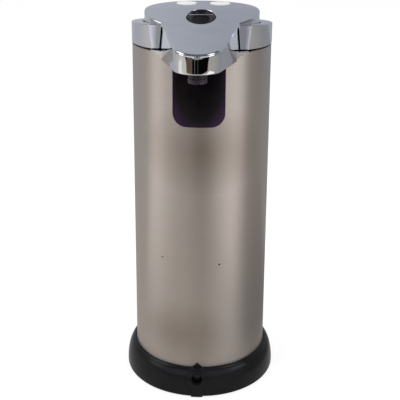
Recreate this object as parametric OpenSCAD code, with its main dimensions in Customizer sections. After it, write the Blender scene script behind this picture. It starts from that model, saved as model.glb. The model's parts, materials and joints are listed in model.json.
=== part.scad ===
// Automatic soap dispenser: a brushed steel sleeve on a flared black base, with a chrome head and spout.
// Millimetres, +Z up. The origin is on the sleeve's axis at the floor, and the spout points along -Y.

/* [Sleeve] */
// Outer diameter of the steel sleeve
sleeve_d = 74; // [72:0.5:78]
// Wall of the sleeve
sleeve_t = 0.7; // [0.5:0.1:1]
// Length of the sleeve, from the base seam to the rim
sleeve_len = 175; // [168:1:195]
// Width of the pointed notch in the sleeve's lower front edge
notch_w = 5.4; // [4:0.2:7]
// Height of that notch
notch_h = 2.9; // [2:0.1:4]

/* [Window] */
// Width of the sensor slot in the sleeve
window_w = 26.8; // [24:0.2:28]
// Depth of the slot below the rim
window_depth = 37.3; // [34:0.1:40]
// Radius of the slot's lower corners
window_r = 7; // [4:0.5:9]
// Thickness of the lens
lens_t = 2.2; // [1.8:0.1:2.6]
// Width of the lip that bears behind the slot
lens_lip = 2.5; // [1.5:0.1:3]

/* [Base] */
// Distance that the base spreads beyond the sleeve at the floor
base_flare = 5.4; // [4.2:0.2:8]
// Height of the base, up to the sleeve's seam
base_h = 16; // [14:0.5:20]
// Step that the base shows outside the sleeve at the seam
base_step = 0.3; // [0.2:0.1:0.8]
// Upright band at the base's lower edge
base_band = 1.4; // [0.8:0.1:2.5]
// Thickness of the base floor
base_floor = 2.9; // [2.4:0.1:3.4]
// Height of the spigot that enters the sleeve
spigot_h = 6; // [4:0.5:9]
// Wall of the spigot
spigot_t = 2.6; // [2:0.1:3]
// Width of the rib down the front of the base
rib_w = 6.4; // [4:0.2:9]
// Distance that this rib stands proud
rib_proud = 1; // [0.6:0.1:1.4]
// Diameter of the lock screw's pad
pad_d = 11; // [9:0.5:12]
// Height of the lock screw above the floor
lock_z = 11; // [9:0.1:11.5]
// Diameter of the lock screw's head
lock_head_d = 5.2; // [4.4:0.1:5.6]
// Distance that the rubber foot stands below the base
foot_lift = 0.8; // [0.5:0.1:1.2]
// Width of the foot ring
foot_w = 4.4; // [3:0.1:5]
// Depth of the foot ring's groove
foot_groove = 1.2; // [0.8:0.1:1.4]

/* [Battery bay] */
// Diameter of one cell
cell_d = 14.4; // [14:0.1:14.5]
// Length of one cell with its button
cell_len = 50.5; // [50:0.1:50.5]
// Length of a contact spring as fitted
spring_h = 3; // [2:0.1:4]
// Thickness of a contact plate
contact_t = 0.5; // [0.3:0.1:0.8]
// Wall of the cell holder
holder_t = 1.6; // [1.4:0.1:2]
// Diameter of the twist door
door_d = 48; // [47:0.5:49]
// Thickness of the door
door_t = 2.2; // [1.8:0.1:2.4]
// Height of the door's upstand
door_rise = 2.6; // [2.3:0.1:3.5]
// Length of the coin slot across the door
coin_l = 18; // [14:1:22]
// Turn that frees the door, in degrees
door_turn = 45; // [35:1:60]

/* [Drive] */
// Wall of the chassis tube
chassis_t = 2; // [1.6:0.1:2.2]
// Thickness of the motor deck
deck_t = 2.5; // [2:0.1:4]
// Diameter of the motor
motor_d = 20; // [18:0.5:21]
// Length of the motor
motor_len = 25; // [23:0.5:28]
// Diameter of the motor shaft
motor_shaft_d = 2; // [1.5:0.1:2.3]
// Module of the reduction gears
gear_mod = 0.6; // [0.58:0.01:0.62]
// Teeth on the motor pinion
pinion_teeth = 10; // [10:2:12]
// Teeth on the reduction gear
wheel_teeth = 60; // [58:2:62]
// Face width of the reduction gears
gear_w = 3.5; // [2.5:0.1:4.5]
// Module of the pump gears
pump_mod = 0.8; // [0.76:0.02:0.84]
// Teeth on each pump gear
pump_teeth = 12; // [12:2:14]
// Face width of the pump gears
pump_w = 5.6; // [4:0.1:7]
// Diameter of the pump's shaft and pin
pump_shaft_d = 3; // [2.5:0.1:3.4]
// Wall around the pump gears
pump_t = 1.5; // [1.2:0.1:1.8]
// Thickness of the pump cover
pump_cover_t = 2.5; // [2:0.1:3.5]
// Outer diameter of the hoses
hose_d = 6; // [5.4:0.1:6.2]
// Bore of the hoses
hose_bore = 4; // [3.6:0.1:4.2]

/* [Tank] */
// Wall of the soap tank
tank_t = 1.6; // [1.2:0.1:2.2]
// Floor of the tank
tank_floor = 2; // [1.6:0.1:3]
// Depth of the channel between the tank's flat front and the sleeve's face
front_channel = 14.4; // [14.2:0.1:15.4]
// Thickness of the tank lid
lid_t = 2.5; // [2:0.1:3.5]
// Thickness of the lid gasket
gasket_t = 0.8; // [0.5:0.1:1.2]
// Width of the lid gasket
gasket_w = 3; // [2:0.1:4]

/* [Head] */
// Height of the plateau above its seat
head_h = 17.2; // [16:0.1:20]
// Distance from the axis to the fold where the spout starts to fall
fold_y = 2; // [1:0.1:3]
// Fall of the spout's top, in degrees
slope = 10.8; // [9:0.1:11]
// Distance from the sleeve's face to the nozzle
nose_reach = 15.5; // [15:0.1:18]
// Diameter of the rounded nose
nose_d = 24; // [22:0.5:25]
// Taper of the spout's flanks, in degrees
flank_taper = 14.4; // [12.5:0.1:15]
// Distance that the flanks' lower edges spread at the plateau, beyond the upper edges
flank_flare = 3; // [2:0.1:4]
// Depth of the nose below the head's seat
nose_drop = 4.4; // [3.5:0.1:6]
// Wall of the spout cover
cover_t = 2; // [1.6:0.1:2.4]
// Height of the shoulder ring at its sides
ring_h = 10.5; // [8:0.1:12]
// Radial width of the shoulder ring
ring_w = 5.8; // [5:0.1:6]
// Gap between the ring and the head's round plateau
ring_gap = 1; // [0.6:0.1:1.4]
// Distance that the ring stands proud of the sleeve
ring_proud = 0.2; // [0.1:0.1:0.4]
// Rise of the ring's top towards the front, in degrees
ring_tilt = 5.5; // [4:0.5:8]
// Half angle of the ring's open front, in degrees
ring_open = 40.7; // [39:0.1:44]
// Lean of the ring's two end faces, in degrees
ring_draft = 5; // [3:0.5:7]
// Rise of the ring's underside at its front ends, in degrees
ring_lift = 2; // [1:0.5:4]
// Height of the cover's saddle above the sleeve's rim, between the ring's ends
saddle_h = 0.8; // [0.6:0.1:1.2]
// Wall of the saddle, in front of the sleeve
saddle_t = 0.6; // [0.6:0.1:1]
// Thickness of the head frame's plate
plate_t = 3; // [2.6:0.1:3.6]
// Height of the head frame's walls above its plate
frame_wall_h = 3; // [2.5:0.1:4.5]
// Thickness of the spout's floor
spout_floor_t = 2; // [1.8:0.1:2.6]
// Depth of the spout's floor inside the nose
spout_floor_in = 1.5; // [1:0.1:1.8]

/* [Filler] */
// Width of the oval filler opening
filler_w = 15; // [14:0.2:16]
// Length of the oval filler opening, along the slope
filler_l = 22.6; // [21:0.2:23]
// Distance from the axis to the filler's centre
filler_y = 13.2; // [13:0.1:14]
// Wall of the filler neck
neck_t = 1.5; // [1.2:0.1:1.8]
// Thickness of the cap's top
cap_t = 2.2; // [1.8:0.1:2.6]
// Length of the cap's plug
plug_l = 7; // [5:0.5:9]
// Height of the grip bar above the cap
grip_h = 1; // [0.6:0.1:1.6]
// Width of the grip bar
grip_w = 1; // [0.8:0.1:1.6]
// Depth of the grip bar's foot in the cap, below the scoops
grip_foot = 1; // [0.6:0.1:1.6]
// Depth of the finger scoops beside the bar
scoop = 1.5; // [0.8:0.1:1.6]
// Rim left around the scoops
cap_rim = 0.9; // [0.7:0.1:1.4]
// Section of the cap's seal ring
seal_s = 0.9; // [0.7:0.1:1.2]

/* [Buttons] */
// Width of one oval button
button_w = 11.5; // [10:0.1:12]
// Depth of one oval button
button_l = 9; // [8:0.1:9.4]
// Distance from the middle to each button's centre
button_x = 9.2; // [9:0.1:9.6]
// Distance from the plateau's rear edge to the buttons' centres
button_in = 11.4; // [11.2:0.1:12.4]
// Height of the buttons above the plateau
button_proud = 0.9; // [0.5:0.1:1.6]
// Travel of a button
button_travel = 1; // [0.6:0.1:1.2]
// Thickness of the flange that keeps a button in
button_flange = 1.4; // [1:0.1:1.8]

/* [Electronics] */
// Thickness of the circuit boards
board_t = 1.6; // [1:0.1:2]
// Half width of the control board
board_x = 15.5; // [15:0.1:15.8]
// Side of a tact switch
switch_s = 6; // [5:0.1:6]
// Height of a tact switch's body
switch_h = 3.6; // [3:0.1:4]
// Diameter of an infrared diode
diode_d = 4; // [3:0.1:5]
// Width of the ribbon cable
ribbon_w = 6; // [4:0.5:6.4]
// Thickness of the ribbon cable
ribbon_t = 0.8; // [0.5:0.1:1]

/* [Nozzle] */
// Outer diameter of the nozzle
nozzle_d = 9.4; // [8:0.1:10]
// Length of the nozzle below the spout's floor
nozzle_l = 7.7; // [6:0.1:10]
// Bore of the nozzle
nozzle_bore = 4; // [3:0.1:5]

/* [Screws] */
// Diameter of the screws
screw_d = 2.8; // [2.4:0.1:3]
// Height of a screw's head
screw_head_h = 1.3; // [1:0.1:1.5]
// Length of the base screws
base_screw_l = 9; // [8:0.5:11]
// Length of the head screws
head_screw_l = 8; // [6:0.5:9]
// Length of the spout's screw
spout_screw_l = 5; // [4:0.5:5.5]
// Length of the board screws
board_screw_l = 5.6; // [4:0.2:6]
// Diameter of the pump screws
pump_screw_d = 1.6; // [1.4:0.1:1.8]
// Length of the pump screws below the cover
pump_screw_l = 5; // [4:0.5:6]
// Diameter of the screw bosses
boss_d = 6; // [5:0.1:6.4]

/* [Fits] */
// Gap between parts that are set together
fit = 0.3; // [0.2:0.05:0.4]
// Radial gap of a running shaft
run_gap = 0.05; // [0.03:0.01:0.08]
// Gap under the head, at the sleeve's rim
rim_gap = 0.3; // [0.2:0.05:0.6]
// Gap around the tank, inside the sleeve
tank_gap = 1.1; // [0.6:0.1:1.6]
// Gap between meshing or turning parts and their neighbours
turn_gap = 0.3; // [0.25:0.05:0.4]

/* [Hidden] */
$fn = 96;

// Overlap that makes a joined or cut shape clean
eps = 0.5;
// Size of a cutting block, larger than the whole object
far = 300;

// Radii of the shell
sleeve_r = sleeve_d / 2;
sleeve_ri = sleeve_r - sleeve_t;
spigot_r = sleeve_ri - fit;
spigot_ri = spigot_r - spigot_t;
base_r = sleeve_r + base_flare;
base_top_r = sleeve_r + base_step;
ring_ro = sleeve_r + ring_proud;
ring_ri = ring_ro - ring_w;
ring_front = ring_ro * cos(ring_open);
head_r = ring_ri - ring_gap;
nose_r = nose_d / 2;
nose_y = sleeve_r + nose_reach;
nose_front = nose_y + nose_r;

// Heights of the shell
floor_top = foot_lift + base_floor;
rim_z = base_h + sleeve_len;
seat_z = rim_z + rim_gap;
top_z = seat_z + head_h;
nose_z = seat_z - nose_drop;
plate_z = seat_z - frame_wall_h - plate_t;
plate_top = plate_z + plate_t;

// Chassis and battery bay
chassis_r = spigot_ri - fit / 2;
chassis_ri = chassis_r - chassis_t;
foot_ro = base_r - 3;
foot_ri = foot_ro - foot_w;
door_r = door_d / 2;
door_z = foot_lift + (base_floor - door_t) / 2;
lug_z = floor_top + turn_gap;
lug_h = 1.6;
lug_out = 2.3;
lug_half = 10;
door_top = door_z + door_t + door_rise;
holder_z = door_top + turn_gap;
holder_h = cell_len + spring_h + 2 * contact_t + 2 * holder_t;
holder_half = cell_d + 2;
cell_pitch = cell_d + 0.8;
deck_z = holder_z + holder_h;
bay_z = deck_z + deck_t;
boss_r = boss_d / 2;
screw_r = screw_d / 2;
screw_sink = screw_head_h + 0.2;
screw_hole_r = screw_r + 0.1;
base_screw_at = chassis_ri - 1;

// Gear train
pinion_r = gear_mod * pinion_teeth / 2;
wheel_r = gear_mod * wheel_teeth / 2;
gear_gap = pinion_r + wheel_r;
pump_pitch_r = pump_mod * pump_teeth / 2;
tooth_tip = 0.85;
tooth_root = 1.15;
motor_r = motor_d / 2;
motor_x = -17;
drive_x = motor_x + gear_gap;
idler_x = drive_x + 2 * pump_pitch_r;
port_x = drive_x + pump_pitch_r;
gear_z = bay_z + motor_len + 0.8;
pump_cavity_r = pump_pitch_r + tooth_tip * pump_mod + turn_gap;
pump_half = pump_cavity_r + pump_t;
pump_foot = 9.5;
cavity_z = bay_z + pump_foot;
pump_top = cavity_z + pump_w + 2 * turn_gap;
port_z = cavity_z + pump_w / 2 + turn_gap;
shaft_r = pump_shaft_d / 2;
shaft_end = 4;
hose_r = hose_d / 2;
nipple_r = hose_bore / 2 - 0.05;
nipple_bore = nipple_r - 0.75;
nipple_l = 6;

// Tank
flange_t = 2.5;
tank_z = gear_z + gear_w + 5.7 + flange_t;
tank_r = sleeve_ri - tank_gap;
tank_flat = sleeve_r - front_channel;
lid_z = plate_z - lid_t;
gasket_z = lid_z - gasket_t;
suction_y = 24;
delivery_y = -(tank_flat + fit + hose_r);
spigot_l = 6;

// Head
fall = tan(slope);
filler_z = top_z - (filler_y - fold_y) * fall;
floor_z = nose_z + spout_floor_in;
floor_z_top = floor_z + spout_floor_t;
sleeve_clear = sleeve_r + fit;
saddle_r = sleeve_clear + saddle_t;
nozzle_r = nozzle_d / 2;
nozzle_flange = 0.6;
hose_z = floor_z_top + nozzle_flange + hose_r;
hose_dir = atan2(nose_y + delivery_y, port_x);
cap_w = filler_w - 2 * fit;
cap_l = filler_l - 2 * fit;
neck_top = cap_t + fit / 2;
neck_w = filler_w - 2 * neck_t - 0.8;
neck_l = filler_l - 2 * neck_t - 0.8;
plug_w = neck_w - 2 * fit;
plug_len = neck_l - 2 * fit;
lip_rise = nose_drop;
lip_from = sleeve_r - 7;
lip_to = sleeve_r - 2.7;
button_y = head_r - button_in;

// Electronics
board_z = plate_top + 4.7;
board_front = 3;
board_back = button_y + switch_s / 2;
switch_top = board_z + board_t + switch_h;
plunger_h = 1.4;
button_low = top_z - cover_t - fit - button_flange;
stem_low = switch_top + plunger_h + button_travel + 0.2;
lens_ri = sleeve_r - fit / 2 - lens_t;
lip_half = window_w / 2 + lens_lip;
sensor_y = sleeve_r - 5.8;
sensor_t = 1.2;
sensor_low = rim_z - window_depth - 1.5;
sensor_half = window_w / 2 - 0.2;
sensor_z = rim_z - window_depth / 2 - 2;
bracket_w = 1.4;
bracket_d = 2.5;
ribbon_x = -16;
ribbon_y = -(tank_flat + 1);

// Shared shapes

// Oval with the given width and length, from its equation
module oval(w, l) {
  steps = 48;
  polygon([for (i = [0:steps - 1]) [w / 2 * cos(360 * i / steps), l / 2 * sin(360 * i / steps)]]);
}

// Ring between two radii, from z0 up by h
module tube(ro, ri, z0, h) {
  translate([0, 0, z0]) difference() {
    cylinder(r = ro, h = h);
    translate([0, 0, -eps]) cylinder(r = ri, h = h + 2 * eps);
  }
}

// Pie-shaped block that spans the given half angle about a heading, from z0 up by h
module wedge(heading, half, reach, z0, h) {
  translate([0, 0, z0]) linear_extrude(h)
    polygon([[0, 0], for (a = [-half, 0, half]) reach / cos(half) * [cos(heading + a), sin(heading + a)]]);
}

// A side outline in Y and Z, drawn out along X
module across(width) {
  translate([-width / 2, 0, 0]) rotate([90, 0, 90]) linear_extrude(width) children();
}

// A front outline in X and Z, drawn out towards the front
module forward(depth) {
  rotate([90, 0, 0]) linear_extrude(depth) children();
}

// Corners of the spout's two flanks, which run into the nose just inside its tangent and may spread
function flanks(inset, spread = 0) =
  let (
    side = [cos(flank_taper), -sin(flank_taper)],
    tip = [0, -nose_y] + (nose_r - inset - 0.03) * side,
    run = (-head_r / 3 - tip.y) / cos(flank_taper),
    root = tip + run * [sin(flank_taper), cos(flank_taper)]
  ) [[-root.x - spread, root.y], [-tip.x, tip.y], tip, [root.x + spread, root.y]];

// Plan of the head: the round plateau and the tapered spout with its round nose
module head_plan(inset = 0) {
  circle(r = head_r - inset);
  translate([0, -nose_y]) circle(r = nose_r - inset);
  polygon(flanks(inset));
}

// Side of the head: flat over the plateau, then falling to the nose
module head_side(inset = 0) {
  fold = fold_y - inset * tan(slope / 2);
  reach = nose_front + eps;
  top = top_z - inset;
  low = nose_z - eps - inset;
  polygon([[head_r + eps, low], [head_r + eps, top], [-fold, top],
           [-reach, top - (reach - fold) * fall], [-reach, low]]);
}

// Solid of the head's outline, drawn in by an inset
module head_solid(inset = 0) {
  intersection() {
    translate([0, 0, nose_z - 2 * eps - inset]) linear_extrude(far) head_plan(inset);
    across(far) head_side(inset);
  }
}

// Block that spreads one flank towards its lower edge, from nothing at the nose; side is 1 or -1
module flare(side) {
  tip = flanks(0.05)[2];
  root = flanks(0.05)[3];
  foot = root + [flank_flare, 0];
  inner = [cover_t / 2, 0];
  low = nose_z - eps;
  rise = top_z - (-root.y - fold_y) * fall - eps - low;
  heading = atan2(foot.y - tip.y, foot.x - tip.x);
  lean = flank_flare * sin(heading);
  mirror([side < 0 ? 1 : 0, 0, 0]) intersection() {
    translate([0, 0, low]) linear_extrude(rise) polygon([tip, foot, root - inner, tip - inner]);
    translate([tip.x, tip.y, low - eps]) rotate(heading)
      across(far) polygon([[-lean * eps / rise, 0], [lean, rise + eps], [far, rise + eps], [far, 0]]);
  }
}

// Frame on the falling face, at the filler's centre, with +Z out of the face
module filler_frame() {
  translate([0, -filler_y, filler_z]) rotate([slope, 0, 0]) children();
}

// Oval prism in the filler's frame, between two depths
module filler_oval(w, l, low, high) {
  filler_frame() translate([0, 0, low]) linear_extrude(high - low) oval(w, l);
}

// Outline of the sensor slot in X and Z, grown or drawn in, up to a given height
module slot_outline(grow, up_to) {
  low = rim_z - window_depth - grow;
  half = window_w / 2 + grow;
  corner = window_r + grow;
  translate([-half, low + corner]) square([2 * half, up_to - low - corner]);
  translate([-half + corner, low]) square([2 * (half - corner), corner + eps]);
  for (s = [-1, 1]) translate([s * (half - corner), low + corner]) circle(r = corner);
}

// Plan of the tank, drawn in by an inset
module tank_plan(inset = 0) {
  intersection() {
    circle(r = tank_r - inset);
    translate([-far / 2, -tank_flat + inset]) square(far);
  }
}

// Spur gear with straight-sided teeth, centred on the Z axis, with its first tooth at an angle
module spur_gear(teeth, mod, w, bore_r, first = 0) {
  step = 360 / teeth;
  tip = mod * (teeth / 2 + tooth_tip);
  root = mod * (teeth / 2 - tooth_root);
  corners = [[root, -0.26], [tip, -0.11], [tip, 0.11], [root, 0.26]];
  linear_extrude(w) difference() {
    polygon([for (i = [0:teeth - 1]) for (c = corners)
      c[0] * [cos(first + (i + c[1]) * step), sin(first + (i + c[1]) * step)]]);
    circle(r = bore_r);
  }
}

// Pan-head screw on +Z, with the underside of its head at the origin
module screw(head_r, head_h, len) {
  translate([0, 0, -head_h]) cylinder(r = head_r, h = head_h);
  translate([0, 0, -eps]) cylinder(r = screw_r, h = len + eps);
}

// Places of the screws that hold the base, the head and the boards
base_screw_headings = [90, 210, 330];
head_screw_at = [[-24.2, 4], [24.2, 4], [0, head_r - cover_t - boss_r + 0.8]];
board_screw_at = [for (s = [-1, 1]) [s * 12.5, button_y - switch_s / 2 - 4]];
pump_screw_at = [for (x = [drive_x - pump_half + 1.6, idler_x + pump_half - 1.6]) for (s = [-1, 1])
  [x, s * (pump_half - 1.6)]];
spout_screw_at = [-7.5, -nose_y + 8.3];

// Outer shell

// Profile of the base from the axis out, with its flare grown by a given amount
module base_profile(grow = 0) {
  steps = 14;
  low = foot_lift + base_band;
  flare = base_r - base_top_r;
  polygon([
    [0, foot_lift], [base_r + grow, foot_lift],
    for (i = [0:steps]) [base_top_r + grow + flare * cos(90 * i / steps),
                         low + (base_h - low) * sin(90 * i / steps)],
    [spigot_ri, base_h], [spigot_ri, floor_top], [0, floor_top]
  ]);
}

module base() {
  color([0.05, 0.05, 0.055]) difference() {
    union() {
      rotate_extrude() base_profile();
      tube(spigot_r, spigot_ri, base_h - eps, spigot_h + eps);
      intersection() {
        rotate_extrude() base_profile(rib_proud);
        translate([-rib_w / 2, -far / 2, 0]) cube([rib_w, far / 2, base_h - 2]);
      }
      intersection() {
        translate([0, -spigot_ri, lock_z]) rotate([90, 0, 0]) cylinder(d = pad_d, h = far);
        rotate_extrude() base_profile(rib_proud);
        translate([-far / 2, -base_r, 0]) cube([far, far, base_h]);
      }
      intersection() {
        tube(sleeve_r, spigot_r - eps, base_h - eps, notch_h + eps);
        forward(far) polygon([[-notch_w / 2 + fit, base_h - eps], [notch_w / 2 - fit, base_h - eps],
                              [notch_w / 2 - fit, base_h], [0, base_h + notch_h - fit],
                              [-notch_w / 2 + fit, base_h]]);
      }
    }
    translate([0, 0, -eps]) cylinder(r = door_r + fit, h = floor_top + 2 * eps);
    tube(foot_ro + fit, foot_ri - fit, foot_lift - eps, foot_groove + eps);
    for (a = [0, 120, 240]) intersection() {
      tube(door_r + lug_out + fit, door_r - 1, -eps, floor_top + 2 * eps);
      wedge(a + door_turn, lug_half + 3, door_r + 9, -eps, floor_top + 2 * eps);
    }
    for (a = base_screw_headings) rotate(a) translate([base_screw_at, 0, 0]) {
      translate([0, 0, -eps]) cylinder(r = screw_hole_r, h = far);
      translate([0, 0, -eps]) cylinder(r = 2 * screw_r + fit, h = foot_lift + screw_sink + eps);
    }
    translate([0, 0, lock_z]) rotate([90, 0, 0]) {
      cylinder(r = screw_hole_r, h = far);
      translate([0, 0, base_r - 4]) cylinder(d = lock_head_d + 2 * fit, h = far);
    }
  }
}

module foot_ring() {
  color([0.09, 0.09, 0.09]) tube(foot_ro, foot_ri, 0, foot_lift + foot_groove);
}

module battery_door() {
  color([0.07, 0.07, 0.075]) difference() {
    union() {
      translate([0, 0, door_z]) cylinder(r = door_r, h = door_t);
      tube(door_r - 0.6, door_r - 4, door_z + door_t - eps, door_rise + eps);
      for (a = [0, 120, 240]) intersection() {
        tube(door_r + lug_out, door_r - 2, lug_z, lug_h);
        wedge(a, lug_half, door_r + 9, lug_z, lug_h);
      }
    }
    translate([-coin_l / 2, -1.1, door_z - eps]) cube([coin_l, 2.2, 1.2 + eps]);
  }
}

module base_screws() {
  color([0.6, 0.6, 0.62]) for (a = base_screw_headings)
    rotate(a) translate([base_screw_at, 0, foot_lift + screw_sink])
      screw(2 * screw_r, screw_head_h, base_screw_l);
}

module lock_screw() {
  color([0.65, 0.65, 0.67])
    translate([0, -(base_r - 4), lock_z]) rotate([-90, 0, 0])
      screw(lock_head_d / 2, 1.8, base_r - 4 - chassis_ri + 1);
}

module steel_sleeve() {
  color([0.66, 0.64, 0.61]) difference() {
    tube(sleeve_r, sleeve_ri, base_h, sleeve_len);
    forward(far) slot_outline(0, rim_z + eps);
    forward(far) polygon([[-notch_w / 2, base_h - eps], [notch_w / 2, base_h - eps],
                          [notch_w / 2, base_h], [0, base_h + notch_h], [-notch_w / 2, base_h]]);
  }
}

module sensor_window() {
  color([0.04, 0.03, 0.05]) {
    intersection() {
      tube(sleeve_r - fit / 2, lens_ri, 0, far);
      forward(far) slot_outline(-fit / 2, rim_z - fit);
    }
    intersection() {
      tube(sleeve_ri - fit / 2, lens_ri, 0, far);
      forward(far) slot_outline(lens_lip, rim_z - fit);
    }
  }
}

module shoulder_ring() {
  color([0.72, 0.73, 0.75]) difference() {
    tube(ring_ro, ring_ri, seat_z, ring_h + sleeve_r);
    translate([0, 0, seat_z + ring_h]) rotate([-ring_tilt, 0, 0])
      translate([-far / 2, -far / 2, 0]) cube(far);
    translate([0, 0, seat_z]) rotate([-ring_lift, 0, 0])
      translate([-far / 2, -far, -far]) cube(far);
    translate([0, -ring_front, seat_z]) rotate([-ring_draft, 0, 0])
      translate([-far / 2, -far, -far / 2]) cube(far);
    linear_extrude(far) head_plan(-fit);
    linear_extrude(far) polygon(flanks(-fit, flank_flare));
  }
}

module spout_cover() {
  color([0.78, 0.79, 0.81]) difference() {
    union() {
      difference() {
        union() {
          head_solid();
          flare(-1);
          flare(1);
          intersection() {
            tube(saddle_r, ring_ri, nose_z, rim_z + saddle_h - nose_z);
            wedge(-90, ring_open - 0.5, far, 0, far);
          }
        }
        head_solid(cover_t);
        translate([0, 0, seat_z - far]) cylinder(r = sleeve_clear, h = far);
        across(far) polygon([[0, nose_z + lip_rise], [-lip_from, nose_z + lip_rise], [-lip_to, nose_z],
                             [-far, nose_z], [-far, nose_z - far], [0, nose_z - far]]);
        filler_oval(filler_w, filler_l, -4 * cover_t, far);
        for (s = [-1, 1]) translate([s * button_x, button_y, top_z - 2 * cover_t])
          linear_extrude(far) oval(button_w + 2 * fit, button_l + 2 * fit);
      }
      for (p = head_screw_at) intersection() {
        translate([p.x, p.y, plate_top]) cylinder(r = boss_r, h = far);
        head_solid(cover_t / 2);
      }
      intersection() {
        translate([spout_screw_at.x, spout_screw_at.y, floor_z_top]) cylinder(r = boss_r, h = far);
        head_solid(cover_t / 2);
      }
    }
    for (p = head_screw_at) translate([p.x, p.y, plate_top - eps])
      cylinder(r = screw_hole_r, h = head_screw_l + 1 + eps);
    translate([spout_screw_at.x, spout_screw_at.y, floor_z_top - eps])
      cylinder(r = screw_hole_r, h = spout_screw_l + eps);
  }
}

module spout_floor() {
  color([0.12, 0.12, 0.13]) difference() {
    translate([0, 0, floor_z]) linear_extrude(spout_floor_t) intersection() {
      head_plan(cover_t + fit / 2);
      translate([-far / 2, -far]) square([far, far - sleeve_r + 6]);
    }
    translate([0, 0, nose_z]) cylinder(r = sleeve_clear, h = far);
    translate([0, -nose_y, 0]) cylinder(r = nozzle_r + fit / 2, h = far);
    translate([spout_screw_at.x, spout_screw_at.y, 0]) {
      cylinder(r = screw_hole_r, h = far);
      cylinder(r = 2 * screw_r + fit, h = floor_z + 1);
    }
  }
}

module filler_cap() {
  color([0.06, 0.06, 0.06]) difference() {
    union() {
      difference() {
        filler_oval(cap_w, cap_l, -cap_t, 0);
        filler_oval(cap_w - 2 * cap_rim, cap_l - 2 * cap_rim, -scoop, eps);
      }
      filler_oval(plug_w, plug_len, -cap_t - plug_l, -cap_t + 0.2);
    }
    difference() {
      filler_oval(filler_w, filler_l, -cap_t - plug_l / 2 - seal_s, -cap_t - plug_l / 2 + seal_s);
      filler_oval(plug_w - 2 * seal_s, plug_len - 2 * seal_s, -far / 2, far / 2);
    }
    grip_bar();
  }
}

// Bar across the cap's scoops, with its foot in the cap
module grip_bar() {
  filler_frame() intersection() {
    translate([-cap_w / 2, -grip_w / 2, -scoop - grip_foot])
      cube([cap_w, grip_w, scoop + grip_foot + grip_h]);
    translate([0, 0, -scoop - grip_foot]) linear_extrude(far)
      oval(cap_w - 2 * cap_rim, cap_l - 2 * cap_rim);
    union() {
      translate([-cap_w / 2, -grip_w / 2, -scoop]) cube([cap_w, grip_w, far]);
      translate([-plug_w / 4, -grip_w / 2, -far]) cube([plug_w / 2, grip_w, 2 * far]);
    }
  }
}

module filler_grip() {
  color([0.78, 0.79, 0.81]) grip_bar();
}

module cap_seal() {
  color([0.2, 0.2, 0.2]) difference() {
    filler_oval(neck_w - fit, neck_l - fit, -cap_t - plug_l / 2 - seal_s, -cap_t - plug_l / 2 + seal_s);
    filler_oval(plug_w - 2 * seal_s, plug_len - 2 * seal_s, -far / 2, far / 2);
  }
}

// One oval button with its retaining flange and its stem
module button() {
  translate([0, button_y, 0]) {
    translate([0, 0, button_low + eps]) linear_extrude(top_z + button_proud - button_low - eps)
      oval(button_w, button_l);
    translate([0, 0, button_low]) linear_extrude(button_flange) oval(button_w + 2, button_l + 2);
    translate([0, 0, stem_low]) cylinder(r = 1.6, h = button_low - stem_low + eps);
  }
}

module plus_button() {
  color([0.86, 0.86, 0.85]) translate([button_x, 0, 0]) button();
}

module minus_button() {
  color([0.86, 0.86, 0.85]) translate([-button_x, 0, 0]) button();
}

module nozzle() {
  color([0.55, 0.55, 0.6, 0.6]) difference() {
    union() {
      translate([0, -nose_y, floor_z - nozzle_l]) cylinder(r = nozzle_r, h = hose_z - floor_z + nozzle_l);
      translate([0, -nose_y, floor_z_top]) cylinder(r = nozzle_r + 1.8, h = nozzle_flange);
      translate([0, -nose_y, hose_z]) {
        cylinder(r = nozzle_r, h = nipple_r - 0.5);
        rotate([0, 90, hose_dir]) cylinder(r = nipple_r, h = nozzle_r + nipple_l);
      }
    }
    translate([0, -nose_y, floor_z - nozzle_l - eps])
      cylinder(d = nozzle_bore, h = hose_z - floor_z + nozzle_l + eps);
    translate([0, -nose_y, floor_z - nozzle_l - eps])
      cylinder(d = nozzle_bore + 2, h = 3.5 + eps);
    translate([0, -nose_y, hose_z]) rotate([0, 90, hose_dir])
      cylinder(r = nipple_bore, h = nozzle_r + nipple_l + eps);
  }
}

module nozzle_valve() {
  color([0.75, 0.75, 0.78]) translate([0, -nose_y, floor_z - nozzle_l + 0.3]) difference() {
    cylinder(d = nozzle_bore + 2 - fit / 2, h = 3.2);
    translate([-0.3, -1.4, -eps]) cube([0.6, 2.8, 1.5 + eps]);
    translate([0, 0, 1]) cylinder(d = nozzle_bore - 1, h = 3);
  }
}

// Inner structure

module chassis() {
  color([0.85, 0.85, 0.83]) difference() {
    union() {
      tube(chassis_r, chassis_ri, floor_top, tank_z - floor_top);
      translate([0, 0, deck_z]) cylinder(r = chassis_r - chassis_t / 2, h = deck_t);
      tube(chassis_r - chassis_t / 2, chassis_ri - 4, tank_z - flange_t, flange_t);
      for (a = base_screw_headings) rotate(a) intersection() {
        translate([base_screw_at, 0, floor_top + fit]) cylinder(r = boss_r, h = 12);
        cylinder(r = chassis_r - chassis_t / 2, h = far);
      }
      translate([motor_x, 0, 0]) tube(motor_r + fit / 2 + 1.5, motor_r + fit / 2, bay_z - eps, 5.5 + eps);
    }
    for (a = base_screw_headings) rotate(a) translate([base_screw_at, 0, 0])
      cylinder(r = screw_hole_r, h = foot_lift + screw_sink + base_screw_l + 2.4);
    translate([0, 0, lock_z]) rotate([90, 0, 0]) cylinder(r = screw_hole_r, h = far);
    for (y = [delivery_y, suction_y]) translate([port_x, y, bay_z + eps])
      cylinder(r = hose_r + 2 * fit, h = far);
    translate([ribbon_x - fit, ribbon_y - ribbon_t - fit, bay_z + eps])
      cube([ribbon_w + 2 * fit, ribbon_t + 2 * fit, far]);
  }
}

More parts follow.
